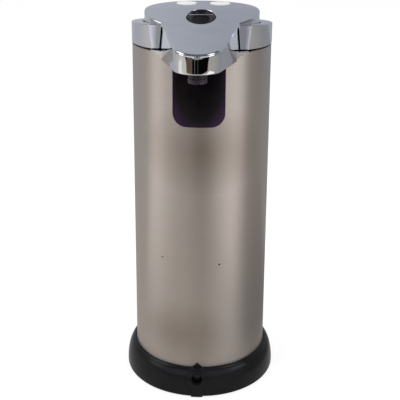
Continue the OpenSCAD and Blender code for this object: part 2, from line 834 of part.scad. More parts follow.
module head_frame() {
  front_open = 47;
  color([0.1, 0.1, 0.11]) difference() {
    union() {
      translate([0, 0, plate_z]) cylinder(r = spigot_r, h = plate_t);
      difference() {
        tube(spigot_r, spigot_r - 2.6, plate_top - eps, frame_wall_h + eps);
        wedge(-90, front_open, far, plate_top, far);
      }
      difference() {
        tube(head_r - 0.2, head_r - 1.8, plate_top - eps, frame_wall_h + eps);
        wedge(-90, front_open + 12, far, plate_top, far);
      }
      for (p = board_screw_at) translate([p.x, p.y, plate_top - eps])
        cylinder(r = boss_r, h = board_z - plate_top + eps);
      for (s = [-1, 1]) translate([s * (sensor_half - bracket_w / 2) - bracket_w / 2,
                                   -sensor_y + sensor_t, sensor_low])
        cube([bracket_w, bracket_d, plate_z - sensor_low + eps]);
    }
    translate([-lip_half - fit, -far - sqrt(lens_ri ^ 2 - lip_half ^ 2) + fit, plate_z - eps])
      cube([2 * (lip_half + fit), far, far]);
    filler_oval(filler_w - 0.8 + 2 * fit, filler_l - 0.8 + 2 * fit, -far / 2, 0);
    translate([port_x, delivery_y, plate_z - eps]) cylinder(r = hose_r + fit, h = far);
    translate([ribbon_x - fit, ribbon_y - ribbon_t - fit, plate_z - eps])
      cube([ribbon_w + 2 * fit, ribbon_t + 2 * fit, far]);
    for (p = board_screw_at) translate([p.x, p.y, plate_top]) cylinder(r = screw_hole_r, h = far);
    for (p = head_screw_at) translate([p.x, p.y, plate_z - eps]) {
      cylinder(r = screw_hole_r, h = far);
      cylinder(r = 2 * screw_r + fit, h = screw_sink + eps);
      translate([0, 0, plate_t + eps]) cylinder(r = boss_r + fit, h = far);
    }
  }
}

// Battery bay

// Centres of the cells, with 1 or -1 for the end that the button points to
cell_at = [for (x = [-1, 1]) for (y = [-1, 1]) [x * cell_pitch / 2, y * cell_pitch / 2, x * y]];
contact_low = holder_z + holder_t;
contact_high = holder_z + holder_h - holder_t - contact_t;
cell_mid = holder_z + holder_h / 2;

// Children on the axis of each cell, at mid height and turned the way that the cell points
module each_cell() {
  for (c = cell_at) translate([c[0], c[1], cell_mid]) mirror([0, 0, c[2] < 0 ? 1 : 0]) children();
}

module battery_holder() {
  web = cell_pitch - cell_d - 2 * 0.1;
  color([0.14, 0.14, 0.15]) {
    for (z = [holder_z, holder_z + holder_h - holder_t]) translate([0, 0, z]) intersection() {
      translate([-holder_half, -holder_half, 0]) cube([2 * holder_half, 2 * holder_half, holder_t]);
      cylinder(r = door_r - 4 - fit, h = holder_t);
    }
    for (a = [0, 90]) rotate(a) translate([-holder_half, -web / 2, holder_z])
      cube([2 * holder_half, web, holder_h]);
  }
}

module battery_cells() {
  half = (cell_len + spring_h) / 2;
  color([0.15, 0.3, 0.2]) each_cell() {
    translate([0, 0, -half + spring_h]) cylinder(d = cell_d, h = cell_len - 1.2);
    translate([0, 0, half - 1.2 - eps]) cylinder(r = 2.7, h = 1.2 + eps);
  }
}

module contact_springs() {
  half = (cell_len + spring_h) / 2;
  color([0.75, 0.73, 0.68]) each_cell() translate([0, 0, -half]) difference() {
    cylinder(r1 = 4.4, r2 = 3, h = spring_h);
    translate([0, 0, -eps]) cylinder(r1 = 3.8, r2 = 2.2, h = spring_h + 2 * eps);
  }
}

module contact_plates() {
  size = cell_pitch + cell_d * 0.6;
  web = cell_pitch - cell_d;
  color([0.75, 0.73, 0.68]) for (z = [contact_low, contact_high]) for (s = [-1, 1])
    for (t = [-1, 1]) translate([s > 0 ? web / 2 : -size / 2, t > 0 ? web / 2 : -size / 2, z])
      cube([(size - web) / 2, (size - web) / 2, contact_t]);
}

// Drive

motor_wall = 1;
motor_end = 4;
magnet_t = 1.2;
magnet_half = 62;

module motor_can() {
  color([0.7, 0.7, 0.72]) translate([motor_x, 0, bay_z]) difference() {
    cylinder(r = motor_r, h = motor_len);
    translate([0, 0, 1.5]) cylinder(r = motor_r - motor_wall, h = motor_len - 3);
    translate([0, 0, -eps]) cylinder(d = motor_shaft_d + 2 * run_gap, h = motor_len + 2 * eps);
  }
}

module motor_magnets() {
  color([0.25, 0.25, 0.27]) translate([motor_x, 0, bay_z + motor_end]) for (a = [0, 180]) intersection() {
    tube(motor_r - motor_wall, motor_r - motor_wall - magnet_t, 0, motor_len - 2 * motor_end);
    wedge(a, magnet_half, motor_d, 0, far);
  }
}

module motor_armature() {
  color([0.65, 0.4, 0.2]) translate([motor_x, 0, 0])
    tube(motor_r - motor_wall - magnet_t - 2 * turn_gap, motor_shaft_d / 2,
         bay_z + motor_end, motor_len - 2 * motor_end);
}

module motor_shaft() {
  color([0.75, 0.75, 0.77]) translate([motor_x, 0, bay_z + 0.2])
    cylinder(d = motor_shaft_d, h = gear_z + gear_w - bay_z);
}

module motor_pinion() {
  color([0.8, 0.68, 0.35]) translate([motor_x, 0, gear_z])
    spur_gear(pinion_teeth, gear_mod, gear_w, motor_shaft_d / 2, 180 / pinion_teeth);
}

module reduction_gear() {
  color([0.93, 0.93, 0.9]) translate([drive_x, 0, gear_z])
    spur_gear(wheel_teeth, gear_mod, gear_w, shaft_r);
}

module pump_shaft() {
  color([0.75, 0.75, 0.77]) translate([drive_x, 0, cavity_z - shaft_end + turn_gap])
    cylinder(r = shaft_r, h = gear_z + gear_w + 1 - cavity_z + shaft_end - turn_gap);
}

module pump_drive_gear() {
  color([0.2, 0.2, 0.22]) translate([drive_x, 0, cavity_z + turn_gap])
    spur_gear(pump_teeth, pump_mod, pump_w, shaft_r);
}

module pump_idler_gear() {
  color([0.2, 0.2, 0.22]) translate([idler_x, 0, cavity_z + turn_gap])
    spur_gear(pump_teeth, pump_mod, pump_w, shaft_r + run_gap, 180 / pump_teeth);
}

module idler_pin() {
  color([0.75, 0.75, 0.77]) translate([idler_x, 0, cavity_z - shaft_end])
    cylinder(r = shaft_r, h = pump_top - cavity_z + shaft_end + 1.5);
}

// Plan of the pump body
module pump_plan() {
  translate([drive_x - pump_half, -pump_half])
    square([idler_x - drive_x + 2 * pump_half, 2 * pump_half]);
}

module pump_housing() {
  color([0.9, 0.9, 0.88]) difference() {
    union() {
      translate([0, 0, bay_z]) linear_extrude(pump_top - bay_z) pump_plan();
      translate([port_x, 0, port_z]) rotate([90, 0, 0])
        cylinder(r = nipple_r, h = 2 * (pump_half + nipple_l), center = true);
    }
    for (x = [drive_x, idler_x]) translate([x, 0, cavity_z]) {
      cylinder(r = pump_cavity_r, h = far);
      translate([0, 0, -shaft_end]) cylinder(r = shaft_r + (x == drive_x ? run_gap : 0), h = far);
    }
    translate([port_x, 0, port_z]) rotate([90, 0, 0]) cylinder(r = nipple_bore, h = far, center = true);
    for (p = pump_screw_at) translate([p.x, p.y, pump_top - pump_screw_l - 1])
      cylinder(d = pump_screw_d + 0.2, h = far);
  }
}

module pump_cover() {
  color([0.88, 0.88, 0.86]) translate([0, 0, pump_top]) difference() {
    linear_extrude(pump_cover_t) pump_plan();
    translate([drive_x, 0, -eps]) cylinder(r = shaft_r + run_gap, h = far);
    translate([idler_x, 0, -eps]) cylinder(r = shaft_r, h = 1.5 + eps);
    for (p = pump_screw_at) translate([p.x, p.y, -eps]) cylinder(d = pump_screw_d + 0.2, h = far);
  }
}

module pump_screws() {
  color([0.6, 0.6, 0.62]) for (p = pump_screw_at) translate([p.x, p.y, pump_top + pump_cover_t]) {
    cylinder(d = 1.75 * pump_screw_d, h = 1);
    translate([0, 0, -pump_cover_t - pump_screw_l])
      cylinder(d = pump_screw_d, h = pump_cover_t + pump_screw_l + eps);
  }
}

// Hose through a list of points, with round elbows
module hose_run(points, r) {
  for (i = [0:len(points) - 2]) let (d = points[i + 1] - points[i]) translate(points[i])
    rotate([0, acos(d.z / norm(d)), atan2(d.y, d.x)]) cylinder(r = r, h = norm(d));
  for (i = [1:len(points) - 2]) translate(points[i]) sphere(r = r);
}

// Hose with its bore open at both ends
module hose(points) {
  last = len(points) - 1;
  start = points[0] - eps * (points[1] - points[0]) / norm(points[1] - points[0]);
  end = points[last] + eps * (points[last] - points[last - 1]) / norm(points[last] - points[last - 1]);
  color([0.8, 0.82, 0.84]) difference() {
    hose_run(points, hose_r);
    hose_run([start, for (i = [1:last - 1]) points[i], end], hose_bore / 2);
  }
}

module suction_hose() {
  hose([[port_x, pump_half, port_z], [port_x, suction_y, port_z], [port_x, suction_y, tank_z]]);
}

module delivery_hose() {
  hose([[port_x, -pump_half, port_z], [port_x, delivery_y, port_z], [port_x, delivery_y, hose_z],
        [(nozzle_r + fit) * cos(hose_dir), -nose_y + (nozzle_r + fit) * sin(hose_dir), hose_z]]);
}

// Tank

module tank() {
  color([0.86, 0.88, 0.9]) difference() {
    union() {
      translate([0, 0, tank_z]) linear_extrude(gasket_z - tank_z) tank_plan();
      translate([port_x, suction_y, tank_z - spigot_l]) cylinder(r = nipple_r, h = spigot_l + eps);
    }
    translate([0, 0, tank_z + tank_floor]) linear_extrude(far) tank_plan(tank_t);
    translate([port_x, suction_y, tank_z - spigot_l - eps]) cylinder(r = nipple_bore, h = far);
  }
}

module lid_gasket() {
  color([0.25, 0.25, 0.26]) translate([0, 0, gasket_z]) linear_extrude(gasket_t) difference() {
    tank_plan();
    tank_plan(gasket_w);
  }
}

module tank_lid() {
  color([0.86, 0.88, 0.9]) difference() {
    union() {
      translate([0, 0, lid_z]) linear_extrude(lid_t) tank_plan();
      intersection() {
        filler_oval(neck_w + 2 * neck_t, neck_l + 2 * neck_t, -far / 2, -neck_top);
        translate([-far / 2, -far / 2, lid_z]) cube(far);
      }
    }
    filler_oval(neck_w, neck_l, -far / 2, far / 2);
  }
}

// Electronics

module control_board() {
  color([0.1, 0.35, 0.2]) difference() {
    translate([-board_x, board_front, board_z]) cube([2 * board_x, board_back - board_front, board_t]);
    for (p = board_screw_at) translate([p.x, p.y, 0]) cylinder(r = screw_hole_r, h = far);
  }
}

module tact_switches() {
  color([0.15, 0.15, 0.15]) for (s = [-1, 1]) translate([s * button_x, button_y, board_z + board_t]) {
    translate([-switch_s / 2, -switch_s / 2, 0]) cube([switch_s, switch_s, switch_h]);
    translate([0, 0, switch_h - eps]) cylinder(r = 1.6, h = plunger_h + eps);
  }
}

module sensor_board() {
  color([0.1, 0.35, 0.2]) translate([-sensor_half, -sensor_y, sensor_low])
    cube([2 * sensor_half, sensor_t, plate_z - sensor_low - fit]);
}

// Diode on the sensor board's face, at a place across the window and a height above its middle
module diode(x, dz, d) {
  translate([x, -sensor_y, sensor_z + dz]) rotate([90, 0, 0]) cylinder(d = d, h = 2);
}

module ir_emitter() {
  color([0.2, 0.15, 0.25]) diode(-5.5, 0, diode_d);
}

module ir_receiver() {
  color([0.1, 0.08, 0.12]) diode(5.5, 0, diode_d);
}

module status_led() {
  color([0.8, 0.2, 0.2]) diode(0, 8, diode_d * 0.6);
}

module ribbon_cable() {
  high = board_z + board_t + ribbon_t;
  color([0.6, 0.6, 0.62]) translate([ribbon_x + ribbon_w / 2, 0, 0]) across(ribbon_w)
    polygon([[ribbon_y - ribbon_t, bay_z + 4], [ribbon_y - ribbon_t, high], [board_front + 4, high],
             [board_front + 4, high - ribbon_t], [ribbon_y, high - ribbon_t], [ribbon_y, bay_z + 4]]);
}

module terminal_strip() {
  color([0.2, 0.2, 0.22]) translate([ribbon_x - 1, ribbon_y - 2.5, bay_z])
    cube([ribbon_w + 2, 5, 4]);
}

module board_screws() {
  color([0.6, 0.6, 0.62]) for (p = board_screw_at)
    translate([p.x, p.y, board_z + board_t]) rotate([180, 0, 0]) screw(2.2, 1, board_screw_l);
}

module head_screws() {
  color([0.6, 0.6, 0.62]) for (p = head_screw_at)
    translate([p.x, p.y, plate_z + screw_sink]) screw(2 * screw_r, screw_head_h, head_screw_l);
}

module spout_screw() {
  color([0.6, 0.6, 0.62]) translate([spout_screw_at.x, spout_screw_at.y, floor_z + 1])
    screw(2 * screw_r, 1, spout_screw_l);
}

base();
foot_ring();
battery_door();
base_screws();
lock_screw();
steel_sleeve();
sensor_window();
shoulder_ring();
spout_cover();
spout_floor();
filler_cap();
filler_grip();
cap_seal();
plus_button();
minus_button();
nozzle();
nozzle_valve();
chassis();
head_frame();
battery_holder();
battery_cells();
contact_springs();
contact_plates();
motor_can();
motor_magnets();
motor_armature();
motor_shaft();
motor_pinion();
reduction_gear();
pump_shaft();
pump_drive_gear();
pump_idler_gear();
idler_pin();
pump_housing();
pump_cover();
pump_screws();
suction_hose();
delivery_hose();
tank();
lid_gasket();
tank_lid();
control_board();
tact_switches();
sensor_board();
ir_emitter();
ir_receiver();
status_led();
ribbon_cable();
terminal_strip();
board_screws();
head_screws();
spout_screw();
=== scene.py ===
"""Looks of an automatic soap dispenser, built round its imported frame."""

import json
import logging
from dataclasses import dataclass
from enum import Enum
from math import acos, atan2, copysign, cos, hypot, pi, radians, sin, sqrt, tan
from typing import Callable

import bmesh
import bpy
from bmesh.types import BMEdge, BMesh, BMFace, BMVert
from bpy.types import Material, Node, NodeSocket, Object, World
from mathutils import Matrix, Vector


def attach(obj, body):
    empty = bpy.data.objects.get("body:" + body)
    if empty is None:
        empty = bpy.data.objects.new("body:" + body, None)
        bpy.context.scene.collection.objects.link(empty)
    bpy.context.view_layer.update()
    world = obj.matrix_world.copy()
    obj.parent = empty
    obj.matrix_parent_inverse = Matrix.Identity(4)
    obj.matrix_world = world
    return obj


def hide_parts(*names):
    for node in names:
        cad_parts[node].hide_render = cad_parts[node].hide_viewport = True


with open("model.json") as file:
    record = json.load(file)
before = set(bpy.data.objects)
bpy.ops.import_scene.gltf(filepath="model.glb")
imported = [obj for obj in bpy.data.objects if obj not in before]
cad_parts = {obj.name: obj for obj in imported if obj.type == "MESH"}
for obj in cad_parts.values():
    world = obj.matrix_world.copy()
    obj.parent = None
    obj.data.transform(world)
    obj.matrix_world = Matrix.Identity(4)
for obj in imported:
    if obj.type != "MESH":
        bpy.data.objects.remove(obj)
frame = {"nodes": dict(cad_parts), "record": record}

MM = 0.001
LATHE_STEPS = 192
OVAL_STEPS = 96
SHARP_ABOVE = 35.0
ROUND_ABOVE = 50.0
FRONT = (-60.0, -20.0)  # reach of the tools that cut the front, along Y
log = logging.getLogger("dispenser")

Point = tuple[float, float]  # radius and height, two places or two sizes
Triple = tuple[float, float, float]  # a colour, a place or three sizes


class Body(Enum):
    """Bodies of the frame that a piece can ride on."""

    HOUSING = "housing"
    DOOR = "door"
    CAP = "cap"
    PLUS = "plus"
    MINUS = "minus"


class Slot(Enum):
    """Material slots of the record."""

    STEEL_SLEEVE = "brushed_steel"
    CHROME = "chrome"
    BLACK = "black_plastic"
    LENS = "smoked_lens"
    RUBBER = "black_rubber"
    DARK = "dark_plastic"
    WHITE = "white_plastic"
    CLEAR = "clear_plastic"
    NOZZLE = "nozzle_plastic"
    SILICONE = "silicone"
    STEEL = "steel_parts"
    BLACKENED = "blackened_steel"
    BRASS = "brass_parts"
    COPPER = "copper_winding"
    FERRITE = "ferrite"
    CELL = "cell_sleeve"
    BOARD = "circuit_board"
    DIODE = "diode_plastic"
    RIBBON = "ribbon"


class Cut(Enum):
    """Ways of combining two solids."""

    AWAY = "DIFFERENCE"
    KEEP = "INTERSECT"
    JOIN = "UNION"


def placed(name: str, data: bpy.types.ID) -> Object:
    """Put new data into the scene as an object."""
    obj = bpy.data.objects.new(name, data)
    bpy.context.scene.collection.objects.link(obj)
    return obj


def band(inner: float, outer: float, low: float, high: float) -> list[Point]:
    """The corners of a ring's section, as radius and height."""
    return [(inner, low), (outer, low), (outer, high), (inner, high)]


class Shape:
    """A mesh in the making. Sizes come in as millimetres and are kept in metres."""

    def __init__(self) -> None:
        """Start with an empty mesh."""
        self.bm = bmesh.new()

    def chain(self, points: list[Vector], closed: bool) -> list:
        """String vertices and edges along points in millimetres, and return them."""
        verts = [self.bm.verts.new(p * MM) for p in points]
        pairs = list(zip(verts, verts[1:]))
        if closed:
            pairs.append((verts[-1], verts[0]))
        return verts + [self.bm.edges.new(p) for p in pairs]

    def lathe(self, profile: list[Point], closed: bool = True, start: float = 0.0, turn: float = 360.0,
              steps: int = LATHE_STEPS) -> "Shape":
        """Spin a profile of radius and height about the Z axis.

        Args:
            profile: Radius and height of each point, in millimetres.
            closed: Whether the profile is a closed loop.
            start: Heading of the first section, in degrees from +X.
            turn: Angle swept, in degrees.
            steps: Sections made.
        Returns:
            This shape.
        """
        a = radians(start)
        points = [Vector((r * cos(a), r * sin(a), z)) for r, z in profile]
        full = turn >= 360.0
        bmesh.ops.spin(self.bm, geom=self.chain(points, closed), cent=(0, 0, 0), axis=(0, 0, 1),
                       angle=radians(turn), steps=steps, use_merge=full, use_duplicate=False)
        bmesh.ops.remove_doubles(self.bm, verts=self.bm.verts, dist=1e-7)
        if not full:
            bmesh.ops.holes_fill(self.bm, edges=[e for e in self.bm.edges if e.is_boundary], sides=0)
        return self.tidy()

    def loft(self, rows: list[Triple]) -> "Shape":
        """Stack ovals into a closed solid.

        Args:
            rows: Width, length and height of each oval, from the bottom up, in millimetres.
        Returns:
            This shape.
        """
        verts = bmesh.ops.create_circle(self.bm, cap_ends=True, radius=0.5, segments=OVAL_STEPS)["verts"]
        w, l, z = rows[0]
        bmesh.ops.scale(self.bm, vec=(w * MM, l * MM, 1), verts=verts)
        bmesh.ops.translate(self.bm, vec=(0, 0, z * MM), verts=verts)
        faces = list({f for v in verts for f in v.link_faces})
        for i, (w1, l1, z1) in enumerate(rows[1:]):
            out = bmesh.ops.extrude_face_region(self.bm, geom=faces)["geom"]
            verts = [g for g in out if isinstance(g, BMVert)]
            if i > 0:
                bmesh.ops.delete(self.bm, geom=[f for f in faces if f.is_valid], context="FACES_ONLY")
            faces = [g for g in out if isinstance(g, BMFace)]
            bmesh.ops.scale(self.bm, vec=(w1 / w, l1 / l, 1), verts=verts)
            bmesh.ops.translate(self.bm, vec=(0, 0, (z1 - z) * MM), verts=verts)
            w, l, z = w1, l1, z1
        return self.tidy()

    def box(self, low: Vector, high: Vector) -> "Shape":
        """Add a block between two corners, in millimetres."""
        verts = bmesh.ops.create_cube(self.bm, size=MM)["verts"]
        bmesh.ops.scale(self.bm, vec=high - low, verts=verts)
        bmesh.ops.translate(self.bm, vec=(low + high) / 2 * MM, verts=verts)
        return self

    def slab(self, outline: list[Vector], along: Vector) -> "Shape":
        """Draw a flat outline out along a vector, both in millimetres."""
        geom = self.chain(outline, True)
        edges = [g for g in geom if isinstance(g, BMEdge)]
        faces = bmesh.ops.contextual_create(self.bm, geom=edges)["faces"]
        self.push(faces, along)
        return self.tidy()

    def push(self, faces: list, along: Vector) -> None:
        """Extrude faces by a vector in millimetres."""
        out = bmesh.ops.extrude_face_region(self.bm, geom=faces, use_keep_orig=True)["geom"]
        verts = [g for g in out if isinstance(g, BMVert)]
        bmesh.ops.translate(self.bm, vec=along * MM, verts=verts)

    def bevel(self, choose: Callable, width: float, segments: int = 4, clamp: bool = True) -> "Shape":
        """Round the chosen edges.

        Args:
            choose: Test that picks an edge.
            width: Width of the rounding, in millimetres.
            segments: Faces across it.
            clamp: Whether the width stops where roundings would meet.
        Returns:
            This shape.
        """
        edges = [e for e in self.bm.edges if choose(e)]
        bmesh.ops.bevel(self.bm, geom=edges, offset=width * MM, offset_type="OFFSET", segments=segments,
                        profile=0.5, affect="EDGES", material=-1, clamp_overlap=clamp)
        return self

    def turn(self, matrix: Matrix) -> "Shape":
        """Move everything by a matrix whose shift is in metres."""
        bmesh.ops.transform(self.bm, matrix=matrix, verts=self.bm.verts)
        return self

    def tidy(self) -> "Shape":
        """Point all normals outwards."""
        bmesh.ops.recalc_face_normals(self.bm, faces=self.bm.faces)
        return self

    def done(self, name: str) -> Object:
        """Turn the shape into an object at the origin."""
        mesh = bpy.data.meshes.new(name)
        self.tidy()
        self.bm.to_mesh(mesh)
        self.bm.free()
        return placed(name, mesh)

    def take(self, obj: Object) -> "Shape":
        """Add an object's mesh and remove the object."""
        self.bm.from_mesh(obj.data)
        bpy.data.objects.remove(obj)
        return self

    def slice(self, place: Vector | Triple, across: Triple) -> None:
        """Divide the faces along a plane through a place in metres, and keep both sides."""
        bm = self.bm
        bmesh.ops.bisect_plane(bm, geom=bm.verts[:] + bm.edges[:] + bm.faces[:], dist=1e-7,
                               plane_co=place, plane_no=across)


def combine(obj: Object, tool: Shape, how: Cut) -> None:
    """Cut, keep or join a solid with another one, which is used up."""
    other = tool.done("tool")
    step = obj.modifiers.new("combine", "BOOLEAN")
    step.operation = how.value
    step.solver = "EXACT"
    step.object = other
    graph = bpy.context.evaluated_depsgraph_get()
    made = bpy.data.meshes.new_from_object(obj.evaluated_get(graph))
    obj.modifiers.clear()
    old, obj.data = obj.data, made
    made.name = obj.name
    bpy.data.meshes.remove(old)
    used = other.data
    bpy.data.objects.remove(other)
    bpy.data.meshes.remove(used)


def smooth(obj: Object, round_off: float = 0.0) -> Object:
    """Shade an object smoothly.

    Args:
        obj: The object.
        round_off: Width of a rounding on the sharp edges, in millimetres, or 0 to keep them sharp.
    Returns:
        The object.
    """
    obj.data.shade_smooth()
    if round_off > 0:
        bevel = obj.modifiers.new("round", "BEVEL")
        bevel.width = round_off * MM
        bevel.segments = 3
        bevel.limit_method = "ANGLE"
        bevel.angle_limit = radians(ROUND_ABOVE)
    else:
        obj.data.set_sharp_from_angle(angle=radians(SHARP_ABOVE))
    obj.modifiers.new("normals", "WEIGHTED_NORMAL").keep_sharp = True
    return obj


class Graph:
    """Builder round the nodes of one material or world."""

    def __init__(self, owner: Material | World) -> None:
        """Start with an empty tree."""
        owner.use_nodes = True
        self.tree = owner.node_tree
        self.tree.nodes.clear()

    @property
    def place(self) -> NodeSocket:
        """Object coordinates."""
        return self.add("TexCoord").outputs["Object"]

    def put(self, socket: NodeSocket, value: object) -> None:
        """Set a socket, or join it to another one."""
        if isinstance(value, NodeSocket):
            self.tree.links.new(value, socket)
        else:
            socket.default_value = (*value, 1.0) if socket.type == "RGBA" else value

    def add(self, kind: str, **values: object) -> Node:
        """Add a node of a kind and fill its sockets, with _ for a space in a name."""
        node = self.tree.nodes.new(f"ShaderNode{kind}")
        for key, value in values.items():
            self.put(node.inputs[key.replace("_", " ")], value)
        return node

    def show(self, shader: Node, kind: str = "Material") -> None:
        """Join a shader to the output."""
        self.add(f"Output{kind}", Surface=shader.outputs[0])

    def mapped(self, scale: Triple, centre: Triple = (0, 0, 0)) -> NodeSocket:
        """Object coordinates about a centre in millimetres, scaled per axis."""
        shift = [-c * MM * s for c, s in zip(centre, scale)]
        return self.add("Mapping", Scale=scale, Location=shift, Vector=self.place).outputs["Vector"]

    def noise(self, scale: Triple | float, detail: float = 3.0, rough: float = 0.55) -> NodeSocket:
        """Fractal noise, with its scale per metre, as a value from 0 to 1."""
        sizes = scale if isinstance(scale, tuple) else (scale, scale, scale)
        node = self.add("TexNoise", Scale=1.0, Detail=detail, Roughness=rough, Vector=self.mapped(sizes))
        return node.outputs["Fac"]

    def spot(self, centre: Triple, size: Triple) -> NodeSocket:
        """A soft ball of value 1 at a centre that fades to 0 over a size, both in millimetres."""
        node = self.add("TexGradient", Vector=self.mapped(tuple(1 / (s * MM) for s in size), centre))
        node.gradient_type = "SPHERICAL"
        return node.outputs["Fac"]

    def span(self, value: NodeSocket, low: float = 0.0, high: float = 1.0, start: float = 0.3,
             end: float = 0.7) -> NodeSocket:
        """Map a value from start to end onto low to high."""
        node = self.add("MapRange", Value=value, From_Min=start, From_Max=end, To_Min=low, To_Max=high)
        return node.outputs["Result"]

    def maths(self, a: NodeSocket, b: NodeSocket | float, how: str = "MULTIPLY") -> NodeSocket:
        """Combine two values by a kind of arithmetic."""
        node = self.add("Math")
        node.operation = how
        self.put(node.inputs[0], a)
        self.put(node.inputs[1], b)
        return node.outputs["Value"]

    def blend(self, share: NodeSocket | float, a: Triple | NodeSocket, b: Triple | NodeSocket,
              how: str = "MIX") -> NodeSocket:
        """Go from colour a to colour b by a share."""
        node = self.add("Mix")
        node.data_type, node.blend_type = "RGBA", how
        self.put(node.inputs["Factor"], share)
        first, second = [s for s in node.inputs if s.type == "RGBA"]
        self.put(first, a)
        self.put(second, b)
        return [s for s in node.outputs if s.type == "RGBA"][0]

    def bump(self, height: NodeSocket, depth: float) -> NodeSocket:
        """The surface's normal, bumped by a height, with its depth in millimetres."""
        return self.add("Bump", Strength=1.0, Distance=depth * MM, Height=height).outputs["Normal"]


@dataclass(frozen=True)
class Finish:
    """A moulded surface: a colour with faint mottling, a grain and worn patches."""

    colour: Triple
    rough: Point = (0.35, 0.5)
    grain: float = 1500.0
    depth: float = 0.01
    mottle: float = 0.12
    metal: float = 0.0
    clear: float = 0.0
    specular: float = 0.5

    def tone(self, share: float) -> Triple:
        """The colour, made darker or lighter."""
        return tuple(min(1.0, c * share) for c in self.colour)

    def shade(self, graph: Graph) -> Node:
        """Make the shader and what feeds it."""
        cloud = graph.span(graph.noise(90.0, 4.0))
        return graph.add(
            "BsdfPrincipled",
            Base_Color=graph.blend(cloud, self.tone(1 - self.mottle), self.tone(1 + self.mottle)),
            Roughness=graph.span(graph.noise(260.0, 5.0), *self.rough),
            Metallic=self.metal,
            Transmission_Weight=self.clear,
            Specular_IOR_Level=self.specular,
            Normal=graph.bump(graph.noise(self.grain, 2.0), self.depth),
        )

    def build(self, name: str) -> Material:
        """Make the material."""
        material = bpy.data.materials.new(name)
        graph = Graph(material)
        graph.show(self.shade(graph))
        return material


@dataclass(frozen=True)
class Chrome(Finish):
    """Polished plating with faint handling marks and a trace of waviness."""

    def shade(self, graph: Graph) -> Node:
        """Make the shader and what feeds it."""
        marks = graph.span(graph.noise((70.0, 110.0, 70.0), 5.0, 0.6), 0.0, 1.0, 0.45, 0.75)
        specks = graph.span(graph.noise(900.0, 3.0), 0.0, 1.0, 0.55, 0.8)
        return graph.add(
            "BsdfPrincipled",
            Base_Color=graph.blend(marks, self.colour, self.tone(0.93)),
            Roughness=graph.span(graph.maths(marks, specks, "ADD"), *self.rough, 0.0, 1.4),
            Metallic=1.0,
            Normal=graph.bump(graph.noise(60.0, 2.0), self.depth),
        )


@dataclass(frozen=True)
class BrushedSteel(Finish):
    """Steel brushed round the sleeve, with painted spout shade below the window, a darker patch low down and
    two small scratches.
    """

    # brownish tint of the painted shade below the window and of the darker patch low on the front
    smudge_and_shade_tint: Triple = (0.3, 0.24, 0.19)
    smudge_and_shade_share: float = 0.9
    scratch: Triple = (0.02, 0.02, 0.02)

    def shade(self, graph: Graph) -> Node:
        """Make the shader and what feeds it."""
        lines = graph.noise((14.0, 14.0, 5200.0), 4.0, 0.7)
        broad = graph.noise((22.0, 22.0, 9.0), 3.0)
        tone = graph.blend(graph.span(lines, 0.0, 1.0, 0.25, 0.75), self.tone(0.93), self.tone(1.06))
        # painted shade: the spout's shadow and a dark reflection on the steel below the window
        under = graph.maths(graph.spot((2, -36, 141), (37, 30, 25)), graph.span(broad, 0.65, 1.0))
        # a brownish darker patch low on the front
        foot = graph.maths(graph.spot((-9, -35, 36), (27, 24, 20)), graph.span(broad, 0.35, 1.0))
        marks = graph.maths(under, foot, "MAXIMUM")
        # lay the brownish tint over the painted shade below the window and the darker patch low down
        tone = graph.blend(graph.maths(marks, self.smudge_and_shade_share), tone, self.smudge_and_shade_tint)
        dots = graph.maths(graph.spot((11.4, -35.2, 77.5), (0.8, 0.8, 0.7)),
                           graph.spot((-19.2, -31.6, 79.5), (1.2, 1.2, 0.35)), "MAXIMUM")
        tone = graph.blend(graph.span(dots, 0.0, 1.0, 0.1, 0.5), tone, self.scratch)
        tangent = graph.add("Tangent")
        tangent.direction_type, tangent.axis = "RADIAL", "Z"
        return graph.add(
            "BsdfPrincipled",
            Base_Color=tone,
            Roughness=graph.span(graph.maths(lines, broad, "ADD"), *self.rough, 0.6, 1.4),
            Metallic=1.0,
            Anisotropic=0.75,
            Anisotropic_Rotation=0.25,
            Tangent=tangent.outputs["Tangent"],
            Normal=graph.bump(lines, self.depth),
        )


@dataclass(frozen=True)
class Lens(Finish):
    """Smoked plastic, near black with a purple cast towards its edges."""

    edge: Triple = (0.035, 0.012, 0.05)

    def shade(self, graph: Graph) -> Node:
        """Make the shader and what feeds it."""
        middle = graph.span(graph.spot((0, -36, 174), (17, 40, 26)), 0.0, 1.0, 0.05, 0.35)
        return graph.add(
            "BsdfPrincipled",
            Base_Color=graph.blend(middle, self.edge, self.colour),
            Roughness=graph.span(graph.noise(140.0, 4.0), *self.rough),
            Specular_IOR_Level=self.specular,
            Normal=graph.bump(graph.noise(420.0, 3.0), self.depth),
        )


@dataclass(frozen=True)
class Board(Finish):
    """Solder mask over faint tracks."""

    track: Triple = (0.1, 0.36, 0.2)

    def shade(self, graph: Graph) -> Node:
        """Make the shader and what feeds it."""
        over = graph.span(graph.noise((900.0, 140.0, 400.0), 1.0), 0.0, 1.0, 0.52, 0.56)
        return graph.add(
            "BsdfPrincipled",
            Base_Color=graph.blend(over, self.colour, self.track),
            Roughness=graph.span(graph.noise(300.0), *self.rough),
            Normal=graph.bump(over, self.depth),
        )


@dataclass(frozen=True)
class Winding(Finish):
    """Close turns of wire."""

    pitch: float = 2600.0

    def shade(self, graph: Graph) -> Node:
        """Make the shader and what feeds it."""
        turns = graph.noise((60.0, 60.0, self.pitch), 1.0)
        return graph.add(
            "BsdfPrincipled",
            Base_Color=graph.blend(graph.span(turns), self.tone(0.6), self.colour),
            Roughness=graph.span(graph.noise(500.0), *self.rough),
            Metallic=self.metal,
            Normal=graph.bump(turns, self.depth),
        )


